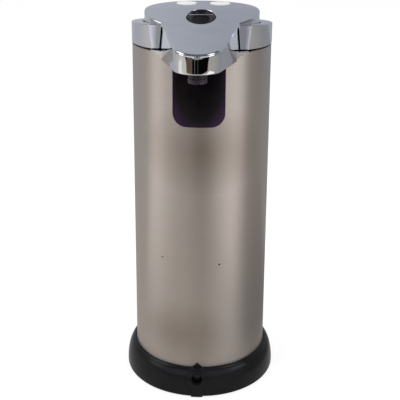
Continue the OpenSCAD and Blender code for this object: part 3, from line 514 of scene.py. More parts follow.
FINISHES: dict[Slot, Finish] = {
    Slot.STEEL_SLEEVE: BrushedSteel((0.64, 0.575, 0.525), (0.34, 0.46), depth=0.004),
    Slot.CHROME: Chrome((0.80, 0.81, 0.83), (0.02, 0.07), depth=0.004),
    Slot.BLACK: Finish((0.008, 0.008, 0.009), (0.18, 0.28), 2200.0, 0.006, 0.2, specular=0.24),
    Slot.LENS: Lens((0.005, 0.0035, 0.005), (0.1, 0.18), depth=0.002, specular=0.2),
    Slot.RUBBER: Finish((0.03, 0.03, 0.03), (0.7, 0.85), 1800.0, 0.03, 0.15),
    Slot.DARK: Finish((0.05, 0.05, 0.053), (0.45, 0.6), 1600.0, 0.015),
    Slot.WHITE: Finish((0.82, 0.82, 0.8), (0.4, 0.55), 1500.0, 0.012, 0.04),
    Slot.CLEAR: Finish((0.82, 0.85, 0.87), (0.25, 0.4), 800.0, 0.01, 0.03, clear=0.75),
    Slot.NOZZLE: Finish((0.07, 0.045, 0.085), (0.2, 0.32), 900.0, 0.01, 0.1, clear=0.45, specular=0.35),
    Slot.SILICONE: Finish((0.8, 0.82, 0.84), (0.4, 0.55), 900.0, 0.01, 0.03, clear=0.4),
    Slot.STEEL: Finish((0.62, 0.62, 0.64), (0.25, 0.4), 1200.0, 0.006, 0.1, metal=1.0),
    Slot.BLACKENED: Finish((0.05, 0.05, 0.052), (0.3, 0.45), 1200.0, 0.006, 0.2, metal=1.0),
    Slot.BRASS: Finish((0.78, 0.62, 0.3), (0.2, 0.35), 1200.0, 0.006, 0.1, metal=1.0),
    Slot.COPPER: Winding((0.6, 0.33, 0.16), (0.3, 0.45), depth=0.05, metal=1.0),
    Slot.FERRITE: Finish((0.14, 0.14, 0.15), (0.6, 0.8), 900.0, 0.04, 0.2),
    Slot.CELL: Finish((0.09, 0.2, 0.17), (0.25, 0.4), 700.0, 0.006, 0.1),
    Slot.BOARD: Board((0.05, 0.24, 0.12), (0.35, 0.5), depth=0.03),
    Slot.DIODE: Finish((0.12, 0.08, 0.16), (0.1, 0.2), 600.0, 0.004, 0.1, clear=0.3),
    Slot.RIBBON: Winding((0.55, 0.55, 0.57), (0.45, 0.6), depth=0.05, pitch=120.0),
}


class Wardrobe:
    """Makes each slot's material once."""

    def __init__(self) -> None:
        """Start empty."""
        self.made: dict[Slot, Material] = {}

    def get(self, slot: Slot) -> Material:
        """The material of a slot."""
        if slot not in self.made:
            self.made[slot] = FINISHES[slot].build(slot.value)
        return self.made[slot]

    def dress(self, obj: Object, node: str, body: Body, slot: Slot) -> None:
        """Give a piece its material, body and place in the record.

        Args:
            obj: The piece.
            node: The frame's node that it stands for.
            body: The body that it rides on.
            slot: Its material slot.
        """
        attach(obj, body.value)
        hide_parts(node)
        self.paint(obj, slot)
        log.info("%s: %d faces", obj.name, len(obj.data.polygons))

    def paint(self, obj: Object, slot: Slot) -> None:
        """Give an object the material of a slot."""
        obj.data.materials.clear()
        obj.data.materials.append(self.get(slot))

    def dress_inside(self) -> None:
        """Give the frame's own nodes, which keep their shapes, the materials of their slots."""
        for part in frame["record"]["subparts"]:
            node = frame["nodes"][part["node"]]
            if not node.hide_render:
                self.paint(node, Slot(part["material_slot"]))


def prism(outline: list[Point], low: float, high: float) -> Shape:
    """A front outline of X and Z, drawn out along Y between two places, all in millimetres."""
    return Shape().slab([Vector((x, low, z)) for x, z in outline], Vector((0, high - low, 0)))


def arrow(width: float, point: float, z: float, drop: float) -> list[Point]:
    """A front outline with straight sides up to a height and a point above it, in millimetres."""
    half = width / 2
    return [(-half, z - drop), (half, z - drop), (half, z), (0, z + point), (-half, z)]


def shifted(x: float, y: float, z: float) -> Matrix:
    """A shift by millimetres."""
    return Matrix.Translation(Vector((x, y, z)) * MM)


def turned(degrees: float, axis: str) -> Matrix:
    """A turn about an axis."""
    return Matrix.Rotation(radians(degrees), 4, axis)


def slope_frame(y: float, z: float, slope: float) -> Matrix:
    """A place on the spout's falling face, with Z out of the face."""
    return Matrix.Translation((0, y * MM, z * MM)) @ turned(slope, "X")


@dataclass
class Head:
    """The chrome cover with its spout, and the ring round it, in millimetres and degrees."""

    head_r: float = 30.4
    nose_r: float = 12.0
    nose_y: float = 52.5
    taper: float = 14.4
    flare: float = 3.0
    saddle_r: float = 37.9
    saddle_z: float = 191.8
    corner_r: float = 2.0
    top_z: float = 208.5
    nose_z: float = 186.9
    seat_z: float = 191.3
    fold_y: float = 2.0
    fold_soft: float = 6.0
    slope: float = 10.8
    wall: float = 2.0
    edge_r: float = 1.3
    lower_edge: float = 0.6
    lip_rise: float = 4.4
    lip_from: float = 30.0
    lip_to: float = 34.3
    sleeve_clear: float = 37.3
    filler_y: float = 13.2
    filler: Point = (15.0, 22.6)
    button: Point = (12.1, 9.6)
    button_at: Point = (9.2, 19.0)
    ring_ro: float = 37.2
    ring_ri: float = 31.4
    ring_h: float = 10.5
    ring_tilt: float = 5.5
    ring_lift: float = 2.0
    ring_open: float = 40.7
    ring_draft: float = 5.0
    ring_corner: float = 0.002  # radians
    ring_inside: float = 60.0
    gap: float = 0.3
    saddle_ri: float = 30.0
    saddle_gap: float = 0.4
    slice_y: float = 3.0
    slice_z: float = 2.2

    def height(self, y: float, drop: float = 0.0) -> float:
        """Height of the cover's top at a place along Y, in millimetres."""
        fall = tan(radians(self.slope))
        ahead = -y - self.fold_y
        soft = self.fold_soft
        down = (ahead + soft) ** 2 / (4 * soft) if abs(ahead) < soft else max(0.0, ahead)
        return self.top_z - drop - fall * down

    def flank(self, spread: float = 0.0) -> tuple[Vector, Vector]:
        """Ends of the right flank in plan, at the nose and inside the plateau, with the latter moved out."""
        t = radians(self.taper)
        tip = Vector((self.nose_r * cos(t), -self.nose_y - self.nose_r * sin(t), 0))
        root = Vector((tip.x, -self.head_r / 3, 0))
        root.x += (root.y - tip.y) * tan(t) + spread
        return tip, root

    def lean(self, y: float, z: float) -> Point:
        """Distance of a flank's crease from the middle, and how far the flank stands out from it."""
        tip, root = self.flank()
        share = min(1.0, max(0.0, (y - tip.y) / (root.y - tip.y)))
        inner = tip.x + (root.x - tip.x) * share
        top = self.height(y)
        rise = min(1.0, max(0.0, (z - self.nose_z) / (top - self.nose_z)))
        return inner, self.flare * share * (1 - rise)

    def spread(self, shape: Shape) -> None:
        """Draw the flanks outwards towards their lower edges, from nothing at the nose."""
        tip, root = self.flank()
        for i in range(1, 13):
            shape.slice(Vector((0, tip.y + i * self.slice_y, 0)) * MM, (0, 1, 0))
        for i in range(1, 9):
            shape.slice(Vector((0, 0, self.nose_z + i * self.slice_z)) * MM, (0, 0, 1))
        for v in shape.bm.verts:
            x, y, z = v.co / MM
            inner, more = self.lean(y, z)
            if tip.y < y < root.y and inner - self.edge_r < abs(x) < inner + more:
                v.co.x = copysign((min(abs(x), inner) + more) * MM, x)

    def plan(self, shape: Shape, inset: float, z: float) -> list:
        """Draw the head's outline by turning points about its centres.

        Args:
            shape: Where to draw.
            inset: Distance that the outline is drawn in, in millimetres.
            z: Height of the outline.
        Returns:
            The face that fills it.
        """
        bm = shape.bm
        t = radians(self.taper)
        out, ahead = Vector((cos(t), -sin(t), 0)), Vector((-sin(t), -cos(t), 0))
        big, small, soft = self.head_r - inset, self.nose_r - inset, self.corner_r + inset
        reach = self.nose_y * sin(t) + small
        along = sqrt((big + soft) ** 2 - (reach + soft) ** 2)
        centre = out * (reach + soft) + ahead * along
        nose = Vector((0, -self.nose_y, 0))
        tip = nose + out * small
        lift = Vector((0, 0, z))
        bend = (-centre).angle(-out)
        point = bm.verts.new((Vector((0, big, 0)) + lift) * MM)
        first = atan2(centre.y, centre.x) - pi / 2
        point = self.swing(bm, point, lift, first, 72)
        point = self.swing(bm, point, centre + lift, bend, 3)
        last = bmesh.ops.extrude_vert_indiv(bm, verts=[point])["verts"][0]
        last.co = (tip + lift) * MM
        self.swing(bm, last, nose + lift, t - pi / 2, 40)
        bmesh.ops.mirror(bm, geom=bm.verts[:] + bm.edges[:], axis="X", merge_dist=1e-6)
        bmesh.ops.remove_doubles(bm, verts=bm.verts, dist=1e-6)
        return bmesh.ops.contextual_create(bm, geom=bm.edges[:])["faces"]

    @staticmethod
    def swing(bm: BMesh, vert: BMVert, centre: Vector, angle: float, steps: int) -> BMVert:
        """Turn a vertex about an upright axis, leaving an arc of edges, and return the arc's end."""
        made = bmesh.ops.spin(bm, geom=[vert], cent=centre * MM, axis=(0, 0, 1), angle=angle, steps=steps,
                              use_duplicate=False)
        return [g for g in made["geom_last"] if isinstance(g, BMVert)][0]

    def solid(self, inset: float, low: float) -> Shape:
        """The head's solid, drawn in by an inset, from a height up to its top."""
        shape = Shape()
        faces = self.plan(shape, inset, low)
        shape.push(faces, Vector((0, 0, self.top_z + 5 - low)))
        soft = self.fold_soft
        for i in range(7):
            y = -self.fold_y + soft - i * soft / 3
            shape.slice((0, y * MM, 0), (0, 1, 0))
        for v in shape.bm.verts:
            if v.co.z > self.top_z * MM:
                v.co.z = self.height(v.co.y / MM, inset) * MM
        return shape.tidy()

    @staticmethod
    def rim(edge: BMEdge, upper: bool) -> bool:
        """Whether an edge lies between a wall and the top, or a wall and the underside."""
        if len(edge.link_faces) != 2:
            return False
        tilt = sorted(f.normal.z if upper else -f.normal.z for f in edge.link_faces)
        return tilt[1] > 0.9 and abs(tilt[0]) < 0.2

    @staticmethod
    def hole(size: Point, deep: float, soft: float) -> Shape:
        """What an oval hole with a softened edge takes away, for a surface at the origin."""
        w, l = size
        wide, over = 2 * soft, 0.2
        return Shape().loft([(w, l, -deep), (w, l, -soft), (w + wide, l + wide, 0),
                             (w + wide + over, l + wide + over, over)])

    def cover(self) -> Object:
        """The chrome cover with its openings."""
        outer = self.solid(0.0, self.nose_z)
        outer.bevel(lambda e: self.rim(e, True), self.edge_r, 6, False)
        outer.tidy()
        spout = -self.head_r / 2 * MM
        outer.bevel(lambda e: self.rim(e, False) and max(v.co.y for v in e.verts) < spout,
                    self.lower_edge, 3, False)
        self.spread(outer)
        obj = outer.done("spout_cover_shell")
        place = slope_frame(-self.filler_y, self.height(-self.filler_y), self.slope)
        combine(obj, self.hole(self.filler, deep=9, soft=0.35).turn(place), Cut.AWAY)
        for side in (-1, 1):
            place = shifted(side * self.button_at[0], self.button_at[1], self.top_z)
            combine(obj, self.hole(self.button, deep=5, soft=0.3).turn(place), Cut.AWAY)
        half = self.ring_open - self.saddle_gap
        saddle = band(self.saddle_ri, self.saddle_r, self.nose_z, self.saddle_z)
        combine(obj, Shape().lathe(saddle, True, -90 - half, 2 * half, 90), Cut.JOIN)
        combine(obj, self.solid(self.wall, self.nose_z - 3), Cut.AWAY)
        combine(obj, Shape().lathe(band(0, self.sleeve_clear, 150, self.seat_z), False), Cut.AWAY)
        rise, under = self.nose_z + self.lip_rise, self.nose_z - 9
        line = ((0, rise), (self.lip_from, rise), (self.lip_to, self.nose_z), (self.lip_to, under),
                (0, under))
        lip = Shape().slab([Vector((-60, -y, z)) for y, z in line], Vector((120, 0, 0)))
        combine(obj, lip, Cut.AWAY)
        return smooth(obj)

    def ring(self) -> Object:
        """The ring round the head, open at the front, with its top rising to the front."""
        low, high = self.seat_z - 0.2, self.seat_z + self.ring_h
        section = band(self.ring_ri, self.ring_ro, low, high)
        shape = Shape().lathe(section, True, self.ring_open - 90, 360 - 2 * self.ring_open, 200)
        angles = (self.ring_tilt, self.ring_lift, self.ring_draft)
        rise, lift, lean = (tan(radians(a)) for a in angles)
        opening = radians(self.ring_open)
        for v in shape.bm.verts:
            p = v.co / MM
            upper = p.z > (low + high) / 2
            inside = hypot(p.x, p.y) < self.ring_ri + 1
            front, side = atan2(abs(p.x), -p.y), copysign(1.0, p.x)
            z = high - rise * p.y if upper else low
            end = self.ring_ro * cos(opening) - (z - self.seat_z) * lean
            if inside and front < opening + self.ring_corner:
                p.x, p.y = side * (sum(self.lean(-end, z)) + self.gap), -end
            else:
                front += (acos(end / self.ring_ro) - opening) * (pi - front) / (pi - opening)
                ray = Vector((sin(front), -cos(front), 0))
                r = self.ring_ri if inside else self.ring_ro
                if inside and front < radians(self.ring_inside):
                    share = (self.height(p.y) - z) / (self.height(p.y) - self.nose_z)
                    tip, root = self.flank(self.flare * max(0.0, share))
                    out = (root - tip).cross(Vector((0, 0, 1))).normalized()
                    r = max(r, (out.dot(tip) + self.gap) / out.dot(ray))
                p.x, p.y = side * ray.x * r, ray.y * r
            p.z = high - rise * p.y if upper else low + lift * max(0.0, -p.y)
            v.co = p * MM
        return smooth(shape.done("shoulder_ring_chrome"), round_off=0.5)


@dataclass
class Controls:
    """The filler's stopper and the two buttons, in millimetres and degrees."""

    filler_y: float = 13.2
    filler_z: float = 206.363
    slope: float = 10.8
    cap: Point = (14.4, 22.0)
    cap_t: float = 2.2
    plug: Point = (10.6, 18.2)
    plug_l: float = 7.0
    rim: float = 0.9
    scoop: float = 1.5
    grip_h: float = 1.0
    grip_w: float = 1.0
    seal: float = 0.9
    button: Point = (11.5, 9.0)
    button_at: Point = (9.2, 19.0)
    button_low: float = 204.8
    button_flange: float = 1.4
    top_z: float = 208.5
    proud: float = 0.9
    dome: float = 0.55
    stem_low: float = 200.8
    stem_d: float = 3.2

    def stopper(self) -> Object:
        """The oval stopper with its finger scoops and plug."""
        cap, plug, under = self.cap, self.plug, -self.cap_t
        low, mid = under - self.plug_l, under - self.plug_l / 2
        s, d = self.seal, 2 * self.rim
        steps = [(plug, 1, low), (plug, 0, low + 0.5), (plug, 0, mid - s), (plug, 2 * s, mid - s),
                 (plug, 2 * s, mid + s), (plug, 0, mid + s), (plug, 0, under), (cap, 0, under),
                 (cap, 0, -0.3), (cap, 0.2, -0.08), (cap, 0.6, 0), (cap, d, -0.15), (cap, d + 0.5, -0.6),
                 (cap, d + 1.6, -1.2), (cap, d + 4, -self.scoop)]
        rows = [(w - less, l - less, z) for (w, l), less, z in steps]
        place = slope_frame(-self.filler_y, self.filler_z, self.slope)
        return smooth(Shape().loft(rows).turn(place).done("filler_stopper"))

    def grip(self) -> Object:
        """The plated bar across the stopper's scoops."""
        half = Vector((self.cap[0] / 2 - self.rim - 0.05, self.grip_w / 2, 0))
        bar = Shape().box(Vector((-half.x, -half.y, -self.scoop)), Vector((half.x, half.y, self.grip_h)))
        bar.bevel(lambda e: all(v.co.z > 0 for v in e.verts), 0.3, 4)
        place = slope_frame(-self.filler_y, self.filler_z, self.slope)
        return smooth(bar.turn(place).done("grip_strip"))

    def key(self, name: str, side: int) -> Object:
        """One domed oval button with its flange and stem."""
        w, l = self.button
        low, top, stem = self.button_low, self.top_z + self.proud, self.stem_d
        ledge, edge = low + self.button_flange, top - self.dome
        rows = [(stem, stem, self.stem_low), (stem, stem, low), (w + 2, l + 2, low), (w + 2, l + 2, ledge),
                (w, l, ledge), (w, l, edge - 0.5), (w - 0.3, l - 0.3, edge - 0.2)]
        for share in (0.9, 0.75, 0.55, 0.35, 0.15):
            rows.append((w * share, l * share, top - self.dome * share * share))
        place = shifted(side * self.button_at[0], self.button_at[1], 0)
        return smooth(Shape().loft(rows).turn(place).done(name))


@dataclass
class Column:
    """The steel sleeve, its sensor window and the nozzle in front of it, in millimetres."""

    sleeve_r: float = 37.0
    sleeve_ri: float = 36.3
    low: float = 16.0
    rim: float = 191.0
    slot_w: float = 26.8
    slot_depth: float = 37.3
    slot_r: float = 7.0
    notch: Point = (5.4, 2.9)
    lens: Point = (34.65, 36.85)
    gap: float = 0.15
    nozzle_y: float = 52.5
    nozzle_r: float = 4.7
    nozzle_low: float = 180.7
    floor_top: float = 190.4

    def opening(self, inset: float, up_to: float) -> Shape:
        """The slot's block, with its lower corners rounded."""
        half, low = self.slot_w / 2 - inset, self.rim - self.slot_depth + inset
        shape = prism([(-half, low), (half, low), (half, up_to), (-half, up_to)], *FRONT)
        corner = (low + 0.01) * MM
        return shape.bevel(lambda e: all(v.co.z < corner for v in e.verts) and
                           abs(e.verts[0].co.x - e.verts[1].co.x) < 1e-6, self.slot_r - inset, 10)

    def sleeve(self) -> Object:
        """The brushed tube with its slot and its pointed notch."""
        rows = 18
        heights = [self.low + (self.rim - self.low) * i / rows for i in range(rows + 1)]
        profile = [(self.sleeve_r, z) for z in heights] + [(self.sleeve_ri, z) for z in reversed(heights)]
        obj = Shape().lathe(profile, steps=240).done("steel_tube")
        combine(obj, self.opening(0.0, self.rim + 2), Cut.AWAY)
        combine(obj, prism(arrow(*self.notch, self.low, 1), *FRONT), Cut.AWAY)
        return smooth(obj)

    def window(self) -> Object:
        """The smoked lens that fills the slot."""
        obj = Shape().lathe(band(*self.lens, 140, 200), True, -120, 60, 60).done("lens")
        combine(obj, self.opening(self.gap, self.rim - 2 * self.gap), Cut.KEEP)
        return smooth(obj, round_off=0.25)

    def spout_tip(self) -> Object:
        """The short translucent nozzle."""
        r, low, top = self.nozzle_r, self.nozzle_low, self.floor_top
        profile = [(2, top + 3.6), (2, low + 3.5), (3, low + 3.5), (3, low + 0.2), (3.3, low), (r - 0.5, low),
                   (r - 0.15, low + 0.15), (r, low + 0.5), (r, low + 2.4), (r - 0.25, low + 2.6),
                   (r - 0.25, low + 3.2), (r, low + 3.4), (r, top), (r + 1.8, top), (r + 1.8, top + 0.6),
                   (r, top + 0.6), (r, top + 5), (0.01, top + 5), (0.01, top + 3.6)]
        shape = Shape().lathe(profile, steps=96)
        return smooth(shape.turn(Matrix.Translation((0, -self.nozzle_y * MM, 0))).done("nozzle_tip"))


@dataclass
class Foot:
    """The flared base with its rubber ring, battery door and screws, in millimetres and degrees."""

    base_r: float = 42.4
    top_r: float = 37.3
    top_z: float = 16.0
    lift: float = 0.8
    band: float = 1.4
    floor_top: float = 3.7
    spigot: Point = (33.4, 36.0)
    spigot_z: float = 22.0
    rib_w: float = 6.4
    proud: float = 1.0
    pad_d: float = 11.0
    lock_z: float = 11.0
    lock_y: float = 38.4
    lock_head: float = 5.2
    tab: Point = (4.8, 2.6)
    door_r: float = 24.0
    door_z: float = 1.15
    door_t: float = 2.2
    foot: Point = (35.0, 39.4)
    foot_h: float = 2.0
    gap: float = 0.3
    core_r: float = 34.0
    outside: float = 60.0
    groove: Point = (13.0, 14.2)
    groove_d: float = 0.3
    upstand: Point = (0.6, 4.0)
    upstand_h: float = 2.6
    coin: Point = (18.0, 2.2)
    coin_d: float = 1.2
    lug: Point = (2.0, 2.3)
    lug_h: float = 1.6
    lug_turn: float = 20.0
    shank_r: float = 1.4
    screw_at: float = 30.25

    def flare(self, grow: float) -> list[Point]:
        """The base's outer line from the floor up to the seam."""
        low = self.lift + self.band
        reach = self.base_r - self.top_r
        line = [(self.base_r + grow - 0.6, self.lift), (self.base_r + grow - 0.15, self.lift + 0.15),
                (self.base_r + grow, self.lift + 0.6)]
        for i in range(25):
            a = radians(90 * i / 24)
            line.append((self.top_r + grow + reach * cos(a), low + (self.top_z - low) * sin(a)))
        return line

    def moulding(self) -> Object:
        """The flared base with its rib, screw pad and pointer tab."""
        ri, ro = self.spigot
        g0, g1 = self.foot[0] - self.gap, self.foot[1] + self.gap
        bore = self.door_r + self.gap
        profile = [(bore, self.lift), (g0, self.lift), (g0, self.foot_h), (g1, self.foot_h), (g1, self.lift),
                   *self.flare(0.0), (ro, self.top_z), (ro, self.spigot_z), (ri, self.spigot_z),
                   (ri, self.floor_top), (bore, self.floor_top)]
        obj = Shape().lathe(profile).done("base_moulding")
        half = self.rib_w / 2
        rib = Shape().box(Vector((-half, -self.outside, 0)), Vector((half, -self.core_r, self.top_z - 2)))
        for tool in (rib, self.rod(self.pad_d / 2, self.core_r)):
            part = self.grown().done("grown")
            combine(part, tool, Cut.KEEP)
            combine(obj, Shape().take(part), Cut.JOIN)
        tip = prism(arrow(*self.tab, self.top_z, 0.5), -self.top_r - 0.1, -ro + 0.4)
        combine(obj, tip, Cut.JOIN)
        combine(obj, self.rod(self.lock_head / 2 + self.gap, self.lock_y), Cut.AWAY)
        return smooth(obj, round_off=0.3)

    def rod(self, radius: float, start: float) -> Shape:
        """A rod at the lock screw's height, from a distance in front of the axis outwards."""
        rod = Shape().lathe(band(0, radius, start, self.outside), False, steps=64)
        return rod.turn(Matrix.Translation((0, 0, self.lock_z * MM)) @ turned(90, "X"))

    def grown(self) -> Shape:
        """The front of the flare as a solid, grown outwards."""
        line = self.flare(self.proud)
        return Shape().lathe([(34.5, self.lift), *line, (34.5, self.top_z)], True, -105, 30, 60)

    def ring(self) -> Object:
        """The rubber ring that it stands on."""
        ri, ro = self.foot
        profile = [(ri, self.foot_h), (ri, 0.4), (ri + 0.4, 0)]
        for i in range(4):
            r = ri + 0.9 + i * 0.9
            profile += [(r - 0.25, 0), (r - 0.1, 0.25), (r + 0.1, 0.25), (r + 0.25, 0)]
        profile += [(ro - 0.4, 0), (ro, 0.4), (ro, self.foot_h)]
        return smooth(Shape().lathe(profile).done("foot_rubber"))

    def door(self) -> Object:
        """The battery door with its coin slot and its upstand."""
        r, z, top = self.door_r, self.door_z, self.door_z + self.door_t
        (g0, g1), g = self.groove, self.groove_d
        (u0, u1), up = self.upstand, top + self.upstand_h
        profile = [(0, z), (g0, z), (g0 + g, z + g), (g1 - g, z + g), (g1, z), (r - 0.4, z), (r, z + 0.4),
                   (r, top), (r - u0, top), (r - u0, up), (r - u1, up), (r - u1, top), (0, top)]
        obj = Shape().lathe(profile, False, steps=128).done("door_disc")
        w, l = self.coin[0] / 2, self.coin[1] / 2
        slot = Shape().box(Vector((-w, -l, z - 2)), Vector((w, l, z + self.coin_d)))
        slot.bevel(lambda e: abs(e.verts[0].co.z - e.verts[1].co.z) > MM, 1.0, 6)
        combine(obj, slot, Cut.AWAY)
        low = self.floor_top + self.gap
        section = band(r - self.lug[0], r + self.lug[1], low, low + self.lug_h)
        for a in (0, 120, 240):
            lug = Shape().lathe(section, True, a - self.lug_turn / 2, self.lug_turn, 12)
            combine(obj, lug, Cut.JOIN)
        return smooth(obj, round_off=0.15)

    def screw(self, head: float, tall: float, shank: float) -> Shape:
        """A pan-head screw that points along +Z, with the underside of its head at the origin."""
        r = self.shank_r
        profile = [(0, -tall), (head * 0.5, -tall), (head * 0.8, -tall * 0.85), (head, -tall * 0.4),
                   (head, 0), (r, 0), (r, shank - 0.6), (r - 0.6, shank), (0, shank)]
        obj = Shape().lathe(profile, False, steps=48).done("screw")
        w, l = head * 0.6, head * 0.12
        for a in (0, 90):
            bar = Shape().box(Vector((-w, -l, -tall - 1)), Vector((w, l, -tall * 0.35)))
            combine(obj, bar.turn(turned(a, "Z")), Cut.AWAY)
        return Shape().take(obj)

    def screws(self) -> Object:
        """The three screws under the base."""
        shape = Shape()
        for a in (90, 210, 330):
            place = turned(a, "Z") @ shifted(self.screw_at, 0, self.lift + 1.5)
            shape.take(self.screw(2.8, 1.3, 9.0).turn(place).done("one"))
        return smooth(shape.done("floor_screws"))

    def lock(self) -> Object:
        """The small screw in the front pad."""
        one = self.screw(self.lock_head / 2, 1.8, 8.0)
        place = shifted(0, -self.lock_y, self.lock_z) @ turned(-90, "X")
        return smooth(one.turn(place).done("pad_screw"))


def pieces() -> list[tuple[Object, str, Body, Slot]]:
    """Build the pieces that stand for nodes, each with its node, body and slot."""
    head, controls, column, foot = Head(), Controls(), Column(), Foot()
    return [
        (head.cover(), "spout_cover", Body.HOUSING, Slot.CHROME),
        (head.ring(), "shoulder_ring", Body.HOUSING, Slot.CHROME),
        (controls.stopper(), "filler_cap", Body.CAP, Slot.BLACK),
        (controls.grip(), "filler_grip", Body.CAP, Slot.CHROME),
        (controls.key("plus_key", 1), "plus_button", Body.PLUS, Slot.WHITE),
        (controls.key("minus_key", -1), "minus_button", Body.MINUS, Slot.WHITE),
        (column.sleeve(), "steel_sleeve", Body.HOUSING, Slot.STEEL_SLEEVE),
        (column.window(), "sensor_window", Body.HOUSING, Slot.LENS),
        (column.spout_tip(), "nozzle", Body.HOUSING, Slot.NOZZLE),
        (foot.moulding(), "base", Body.HOUSING, Slot.BLACK),
        (foot.ring(), "foot_ring", Body.HOUSING, Slot.RUBBER),
        (foot.door(), "battery_door", Body.DOOR, Slot.BLACK),
        (foot.screws(), "base_screws", Body.HOUSING, Slot.STEEL),
        (foot.lock(), "lock_screw", Body.HOUSING, Slot.BLACKENED),
    ]


def facing(place: Triple, aim: Triple, axis: str) -> Matrix:
    """Stand at a place with an axis towards an aim, both in metres."""
    way = (Vector(aim) - Vector(place)).to_track_quat(axis, "Y")
    return Matrix.Translation(place) @ way.to_matrix().to_4x4()


def sheet(name: str, size: Point, stand: Matrix) -> tuple[Object, Graph]:
    """Make a flat sheet of the studio.

    Args:
        name: Name of the sheet and its material.
        size: Its two sizes, in metres.
        stand: Where its middle is and how it is turned.
    Returns:
        The sheet, and its material's nodes.
    """
    shape = Shape()
    bmesh.ops.create_grid(shape.bm, x_segments=1, y_segments=1, size=0.5)
    bmesh.ops.scale(shape.bm, vec=(*size, 1), verts=shape.bm.verts)
    obj = shape.turn(stand).done(name)
    material = bpy.data.materials.new(name)
    obj.data.materials.append(material)
    return obj, Graph(material)


@dataclass(frozen=True)
class Card:
    """A studio card that only mirror-like surfaces see."""

    name: str
    centre: Triple
    size: Point
    towards: Triple
    colour: Triple
    fade: tuple[float, float, Triple] | None = None

    def build(self) -> None:
        """Make the card and its glow, which may change to a second tone along X."""
        obj, graph = sheet(self.name, self.size, facing(self.centre, self.towards, "Z"))
        colour = self.colour
        if self.fade:
            start, stop, tone = self.fade
            along = graph.add("SeparateXYZ", Vector=graph.place).outputs["X"]
            colour = graph.blend(graph.span(along, 0.0, 1.0, start, stop), colour, tone)
        graph.show(graph.add("Emission", Color=colour))
        obj.visible_camera = obj.visible_diffuse = obj.visible_transmission = False
        obj.visible_shadow = obj.visible_volume_scatter = False


CARDS = (
    Card("back_card", (0.0, 0.9, 0.6), (3.6, 1.6), (0.0, 0.0, 0.6), (0.44, 0.46, 0.51),
         (-0.13, 0.0, (0.354, 0.376, 0.434))),
    Card("ceiling_card", (0.0, 0.0, 1.5), (3.6, 3.2), (0.0, 0.0, 0.0), (0.12, 0.12, 0.13)),
    Card("front_low", (-0.14, -0.62, 0.02), (2.03, 0.14), (-0.14, 0.0, 0.02), (0.002, 0.002, 0.002)),
    Card("front_high", (-0.015, -0.62, 0.5), (0.04, 0.8), (-0.015, 0.0, 0.5), (0.004, 0.004, 0.004)),
    Card("front_left", (-0.4525, -0.62, 0.39), (0.835, 0.6), (-0.4525, 0.0, 0.39), (0.68, 0.70, 0.76),
         (-0.2, -0.1, (0.32, 0.32, 0.345))),
    Card("front_right", (0.4375, -0.62, 0.39), (0.865, 0.6), (0.4375, 0.0, 0.39), (0.25, 0.25, 0.275),
         (0.1, 0.2, (0.58, 0.60, 0.66))),
    Card("front_strip", (-0.33, -0.58, 0.02), (0.42, 0.16), (-0.10, 0.0, 0.02), (0.12, 0.085, 0.065)),
    Card("front_line_a", (-0.10, -0.59, 0.02), (0.010, 0.16), (-0.10, 0.0, 0.02), (0.35, 0.35, 0.35)),
    Card("front_line_b", (0.03, -0.59, 0.02), (0.007, 0.16), (0.03, 0.0, 0.02), (0.2, 0.2, 0.2)),
    Card("left_sheet", (-0.54, -0.14, 0.003), (0.72, 0.30), (-0.54, -0.14, 1.0), (0.86, 0.845, 0.82)),
    Card("right_sheet", (0.42, -0.30, 0.003), (0.58, 0.38), (0.42, -0.30, 1.0), (1.12, 1.09, 1.05)),
    Card("right_shade", (0.15, 0.03, 0.004), (0.19, 0.22), (0.15, 0.02, 1.0), (0.2, 0.2, 0.2)),
    Card("left_wall", (-1.6, 0.0, 0.6), (3.0, 1.8), (0.0, 0.0, 0.6), (0.3, 0.3, 0.31)),
    Card("right_wall", (1.6, 0.0, 0.6), (3.0, 1.8), (0.0, 0.0, 0.6), (0.22, 0.22, 0.22)),
    Card("left_soft", (-0.75, 0.1, 1.0), (0.6, 0.5), (0.0, -0.05, 0.2), (2.0, 2.0, 2.0)),
    Card("low_left", (-0.90, -0.28, 0.42), (0.40, 0.34), (0.0, -0.04, 0.01), (1.7, 1.7, 1.9)),
    Card("low_right", (0.82, -0.42, 0.44), (0.46, 0.40), (0.0, -0.04, 0.01), (1.7, 1.7, 1.9)),
    Card("right_soft", (0.6, -0.08, 1.1), (0.4, 0.4), (0.0, -0.05, 0.2), (2.0, 2.0, 2.0)),
)


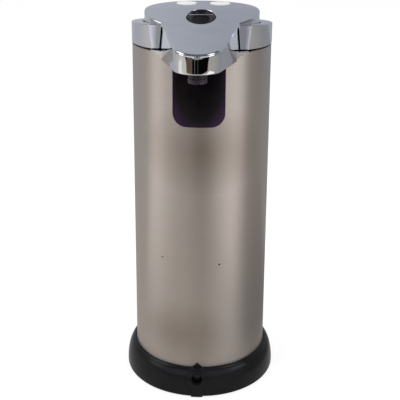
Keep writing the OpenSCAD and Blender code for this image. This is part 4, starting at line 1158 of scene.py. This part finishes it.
@dataclass(frozen=True)
class Studio:
    """Camera, light, floor and backdrop, in metres."""

    lens: float = 77.43
    sensor: float = 36.0
    shift: Point = (-0.0030, -0.1555)
    eye: Triple = (0.01663, -0.4536, 0.27684)
    ahead: Triple = (-0.03502, 0.95506, -0.29437)
    roll: float = 0.0067
    ambient: float = 0.55
    floor_side: float = 12.0
    floor_matte: Triple = (0.3, 0.3, 0.3)
    floor_glow: Triple = (0.8, 0.8, 0.8)

    def camera(self) -> None:
        """Stand the camera where the photo was taken from."""
        data = bpy.data.cameras.new("camera")
        data.lens, data.sensor_width = self.lens, self.sensor
        data.shift_x, data.shift_y = self.shift
        data.clip_start, data.clip_end = 0.01, 20.0
        obj = placed("camera", data)
        look = Vector(self.ahead).to_track_quat("-Z", "Y").to_matrix() @ Matrix.Rotation(self.roll, 3, "Z")
        obj.matrix_world = Matrix.Translation(self.eye) @ look.to_4x4()
        bpy.context.scene.camera = obj

    def lamp(self, name: str, place: Triple, aim: Triple, size: float, power: float) -> None:
        """Hang a square lamp."""
        data = bpy.data.lights.new(name, "AREA")
        data.energy, data.size = power, size
        obj = placed(name, data)
        obj.matrix_world = facing(place, aim, "-Z")
        obj.visible_glossy = False

    def world(self) -> None:
        """White for the camera and reflections, plain light for everything else."""
        world = bpy.data.worlds.new("studio")
        bpy.context.scene.world = world
        graph = Graph(world)
        path = graph.add("LightPath").outputs
        seen = path["Is Camera Ray"]
        for kind in ("Is Glossy Ray", "Is Transmission Ray"):
            seen = graph.maths(seen, path[kind], "MAXIMUM")
        level = graph.span(seen, self.ambient, 1.0, 0.0, 1.0)
        graph.show(graph.add("Background", Color=(1, 1, 1), Strength=level), "World")

    def floor(self) -> None:
        """A pale floor that keeps a soft shadow and reads as a grey sweep in reflections."""
        _, graph = sheet("floor", (self.floor_side, self.floor_side), Matrix())
        path = graph.add("LightPath").outputs
        shown = graph.add("AddShader")
        matte = graph.add("BsdfDiffuse", Color=self.floor_matte)
        glow = graph.add("Emission", Color=self.floor_glow, Strength=path["Is Camera Ray"])
        axes = graph.add("SeparateXYZ", Vector=graph.place).outputs
        tones = [
            graph.blend(graph.span(axes[axis], 0.0, 1.0, near, far), first, second)
            for axis, near, far, first, second in (
                ("X", -0.6, 0.6, (1.05, 1.05, 1.05), (0.68, 0.68, 0.68)),
                ("Y", -0.2, 0.5, (0.58, 0.55, 0.51), (0.40, 0.41, 0.44)),
            )
        ]
        sweep = graph.add("Emission", Color=graph.blend(1.0, *tones, "MULTIPLY"))
        choice = graph.add("MixShader", Fac=path["Is Glossy Ray"])
        for node, at, part in ((shown, 0, matte), (shown, 1, glow), (choice, 1, shown), (choice, 2, sweep)):
            graph.put(node.inputs[at], part.outputs[0])
        graph.show(choice)

    def build(self) -> None:
        """Set everything up."""
        self.camera()
        self.world()
        self.floor()
        self.lamp("key_left", (-0.9, -0.5, 1.1), (0, 0, 0.1), 0.8, 9.0)
        self.lamp("key_right", (0.9, -0.6, 1.0), (0, 0, 0.1), 0.8, 7.0)
        for card in CARDS:
            card.build()
        bpy.context.scene.view_settings.view_transform = "Standard"


def main() -> None:
    """Build the looks and the studio."""
    logging.basicConfig(level=logging.INFO, format="%(name)s %(message)s")
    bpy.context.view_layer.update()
    wardrobe = Wardrobe()
    for piece in pieces():
        wardrobe.dress(*piece)
    wardrobe.dress_inside()
    Studio().build()


if __name__ == "__main__":
    main()
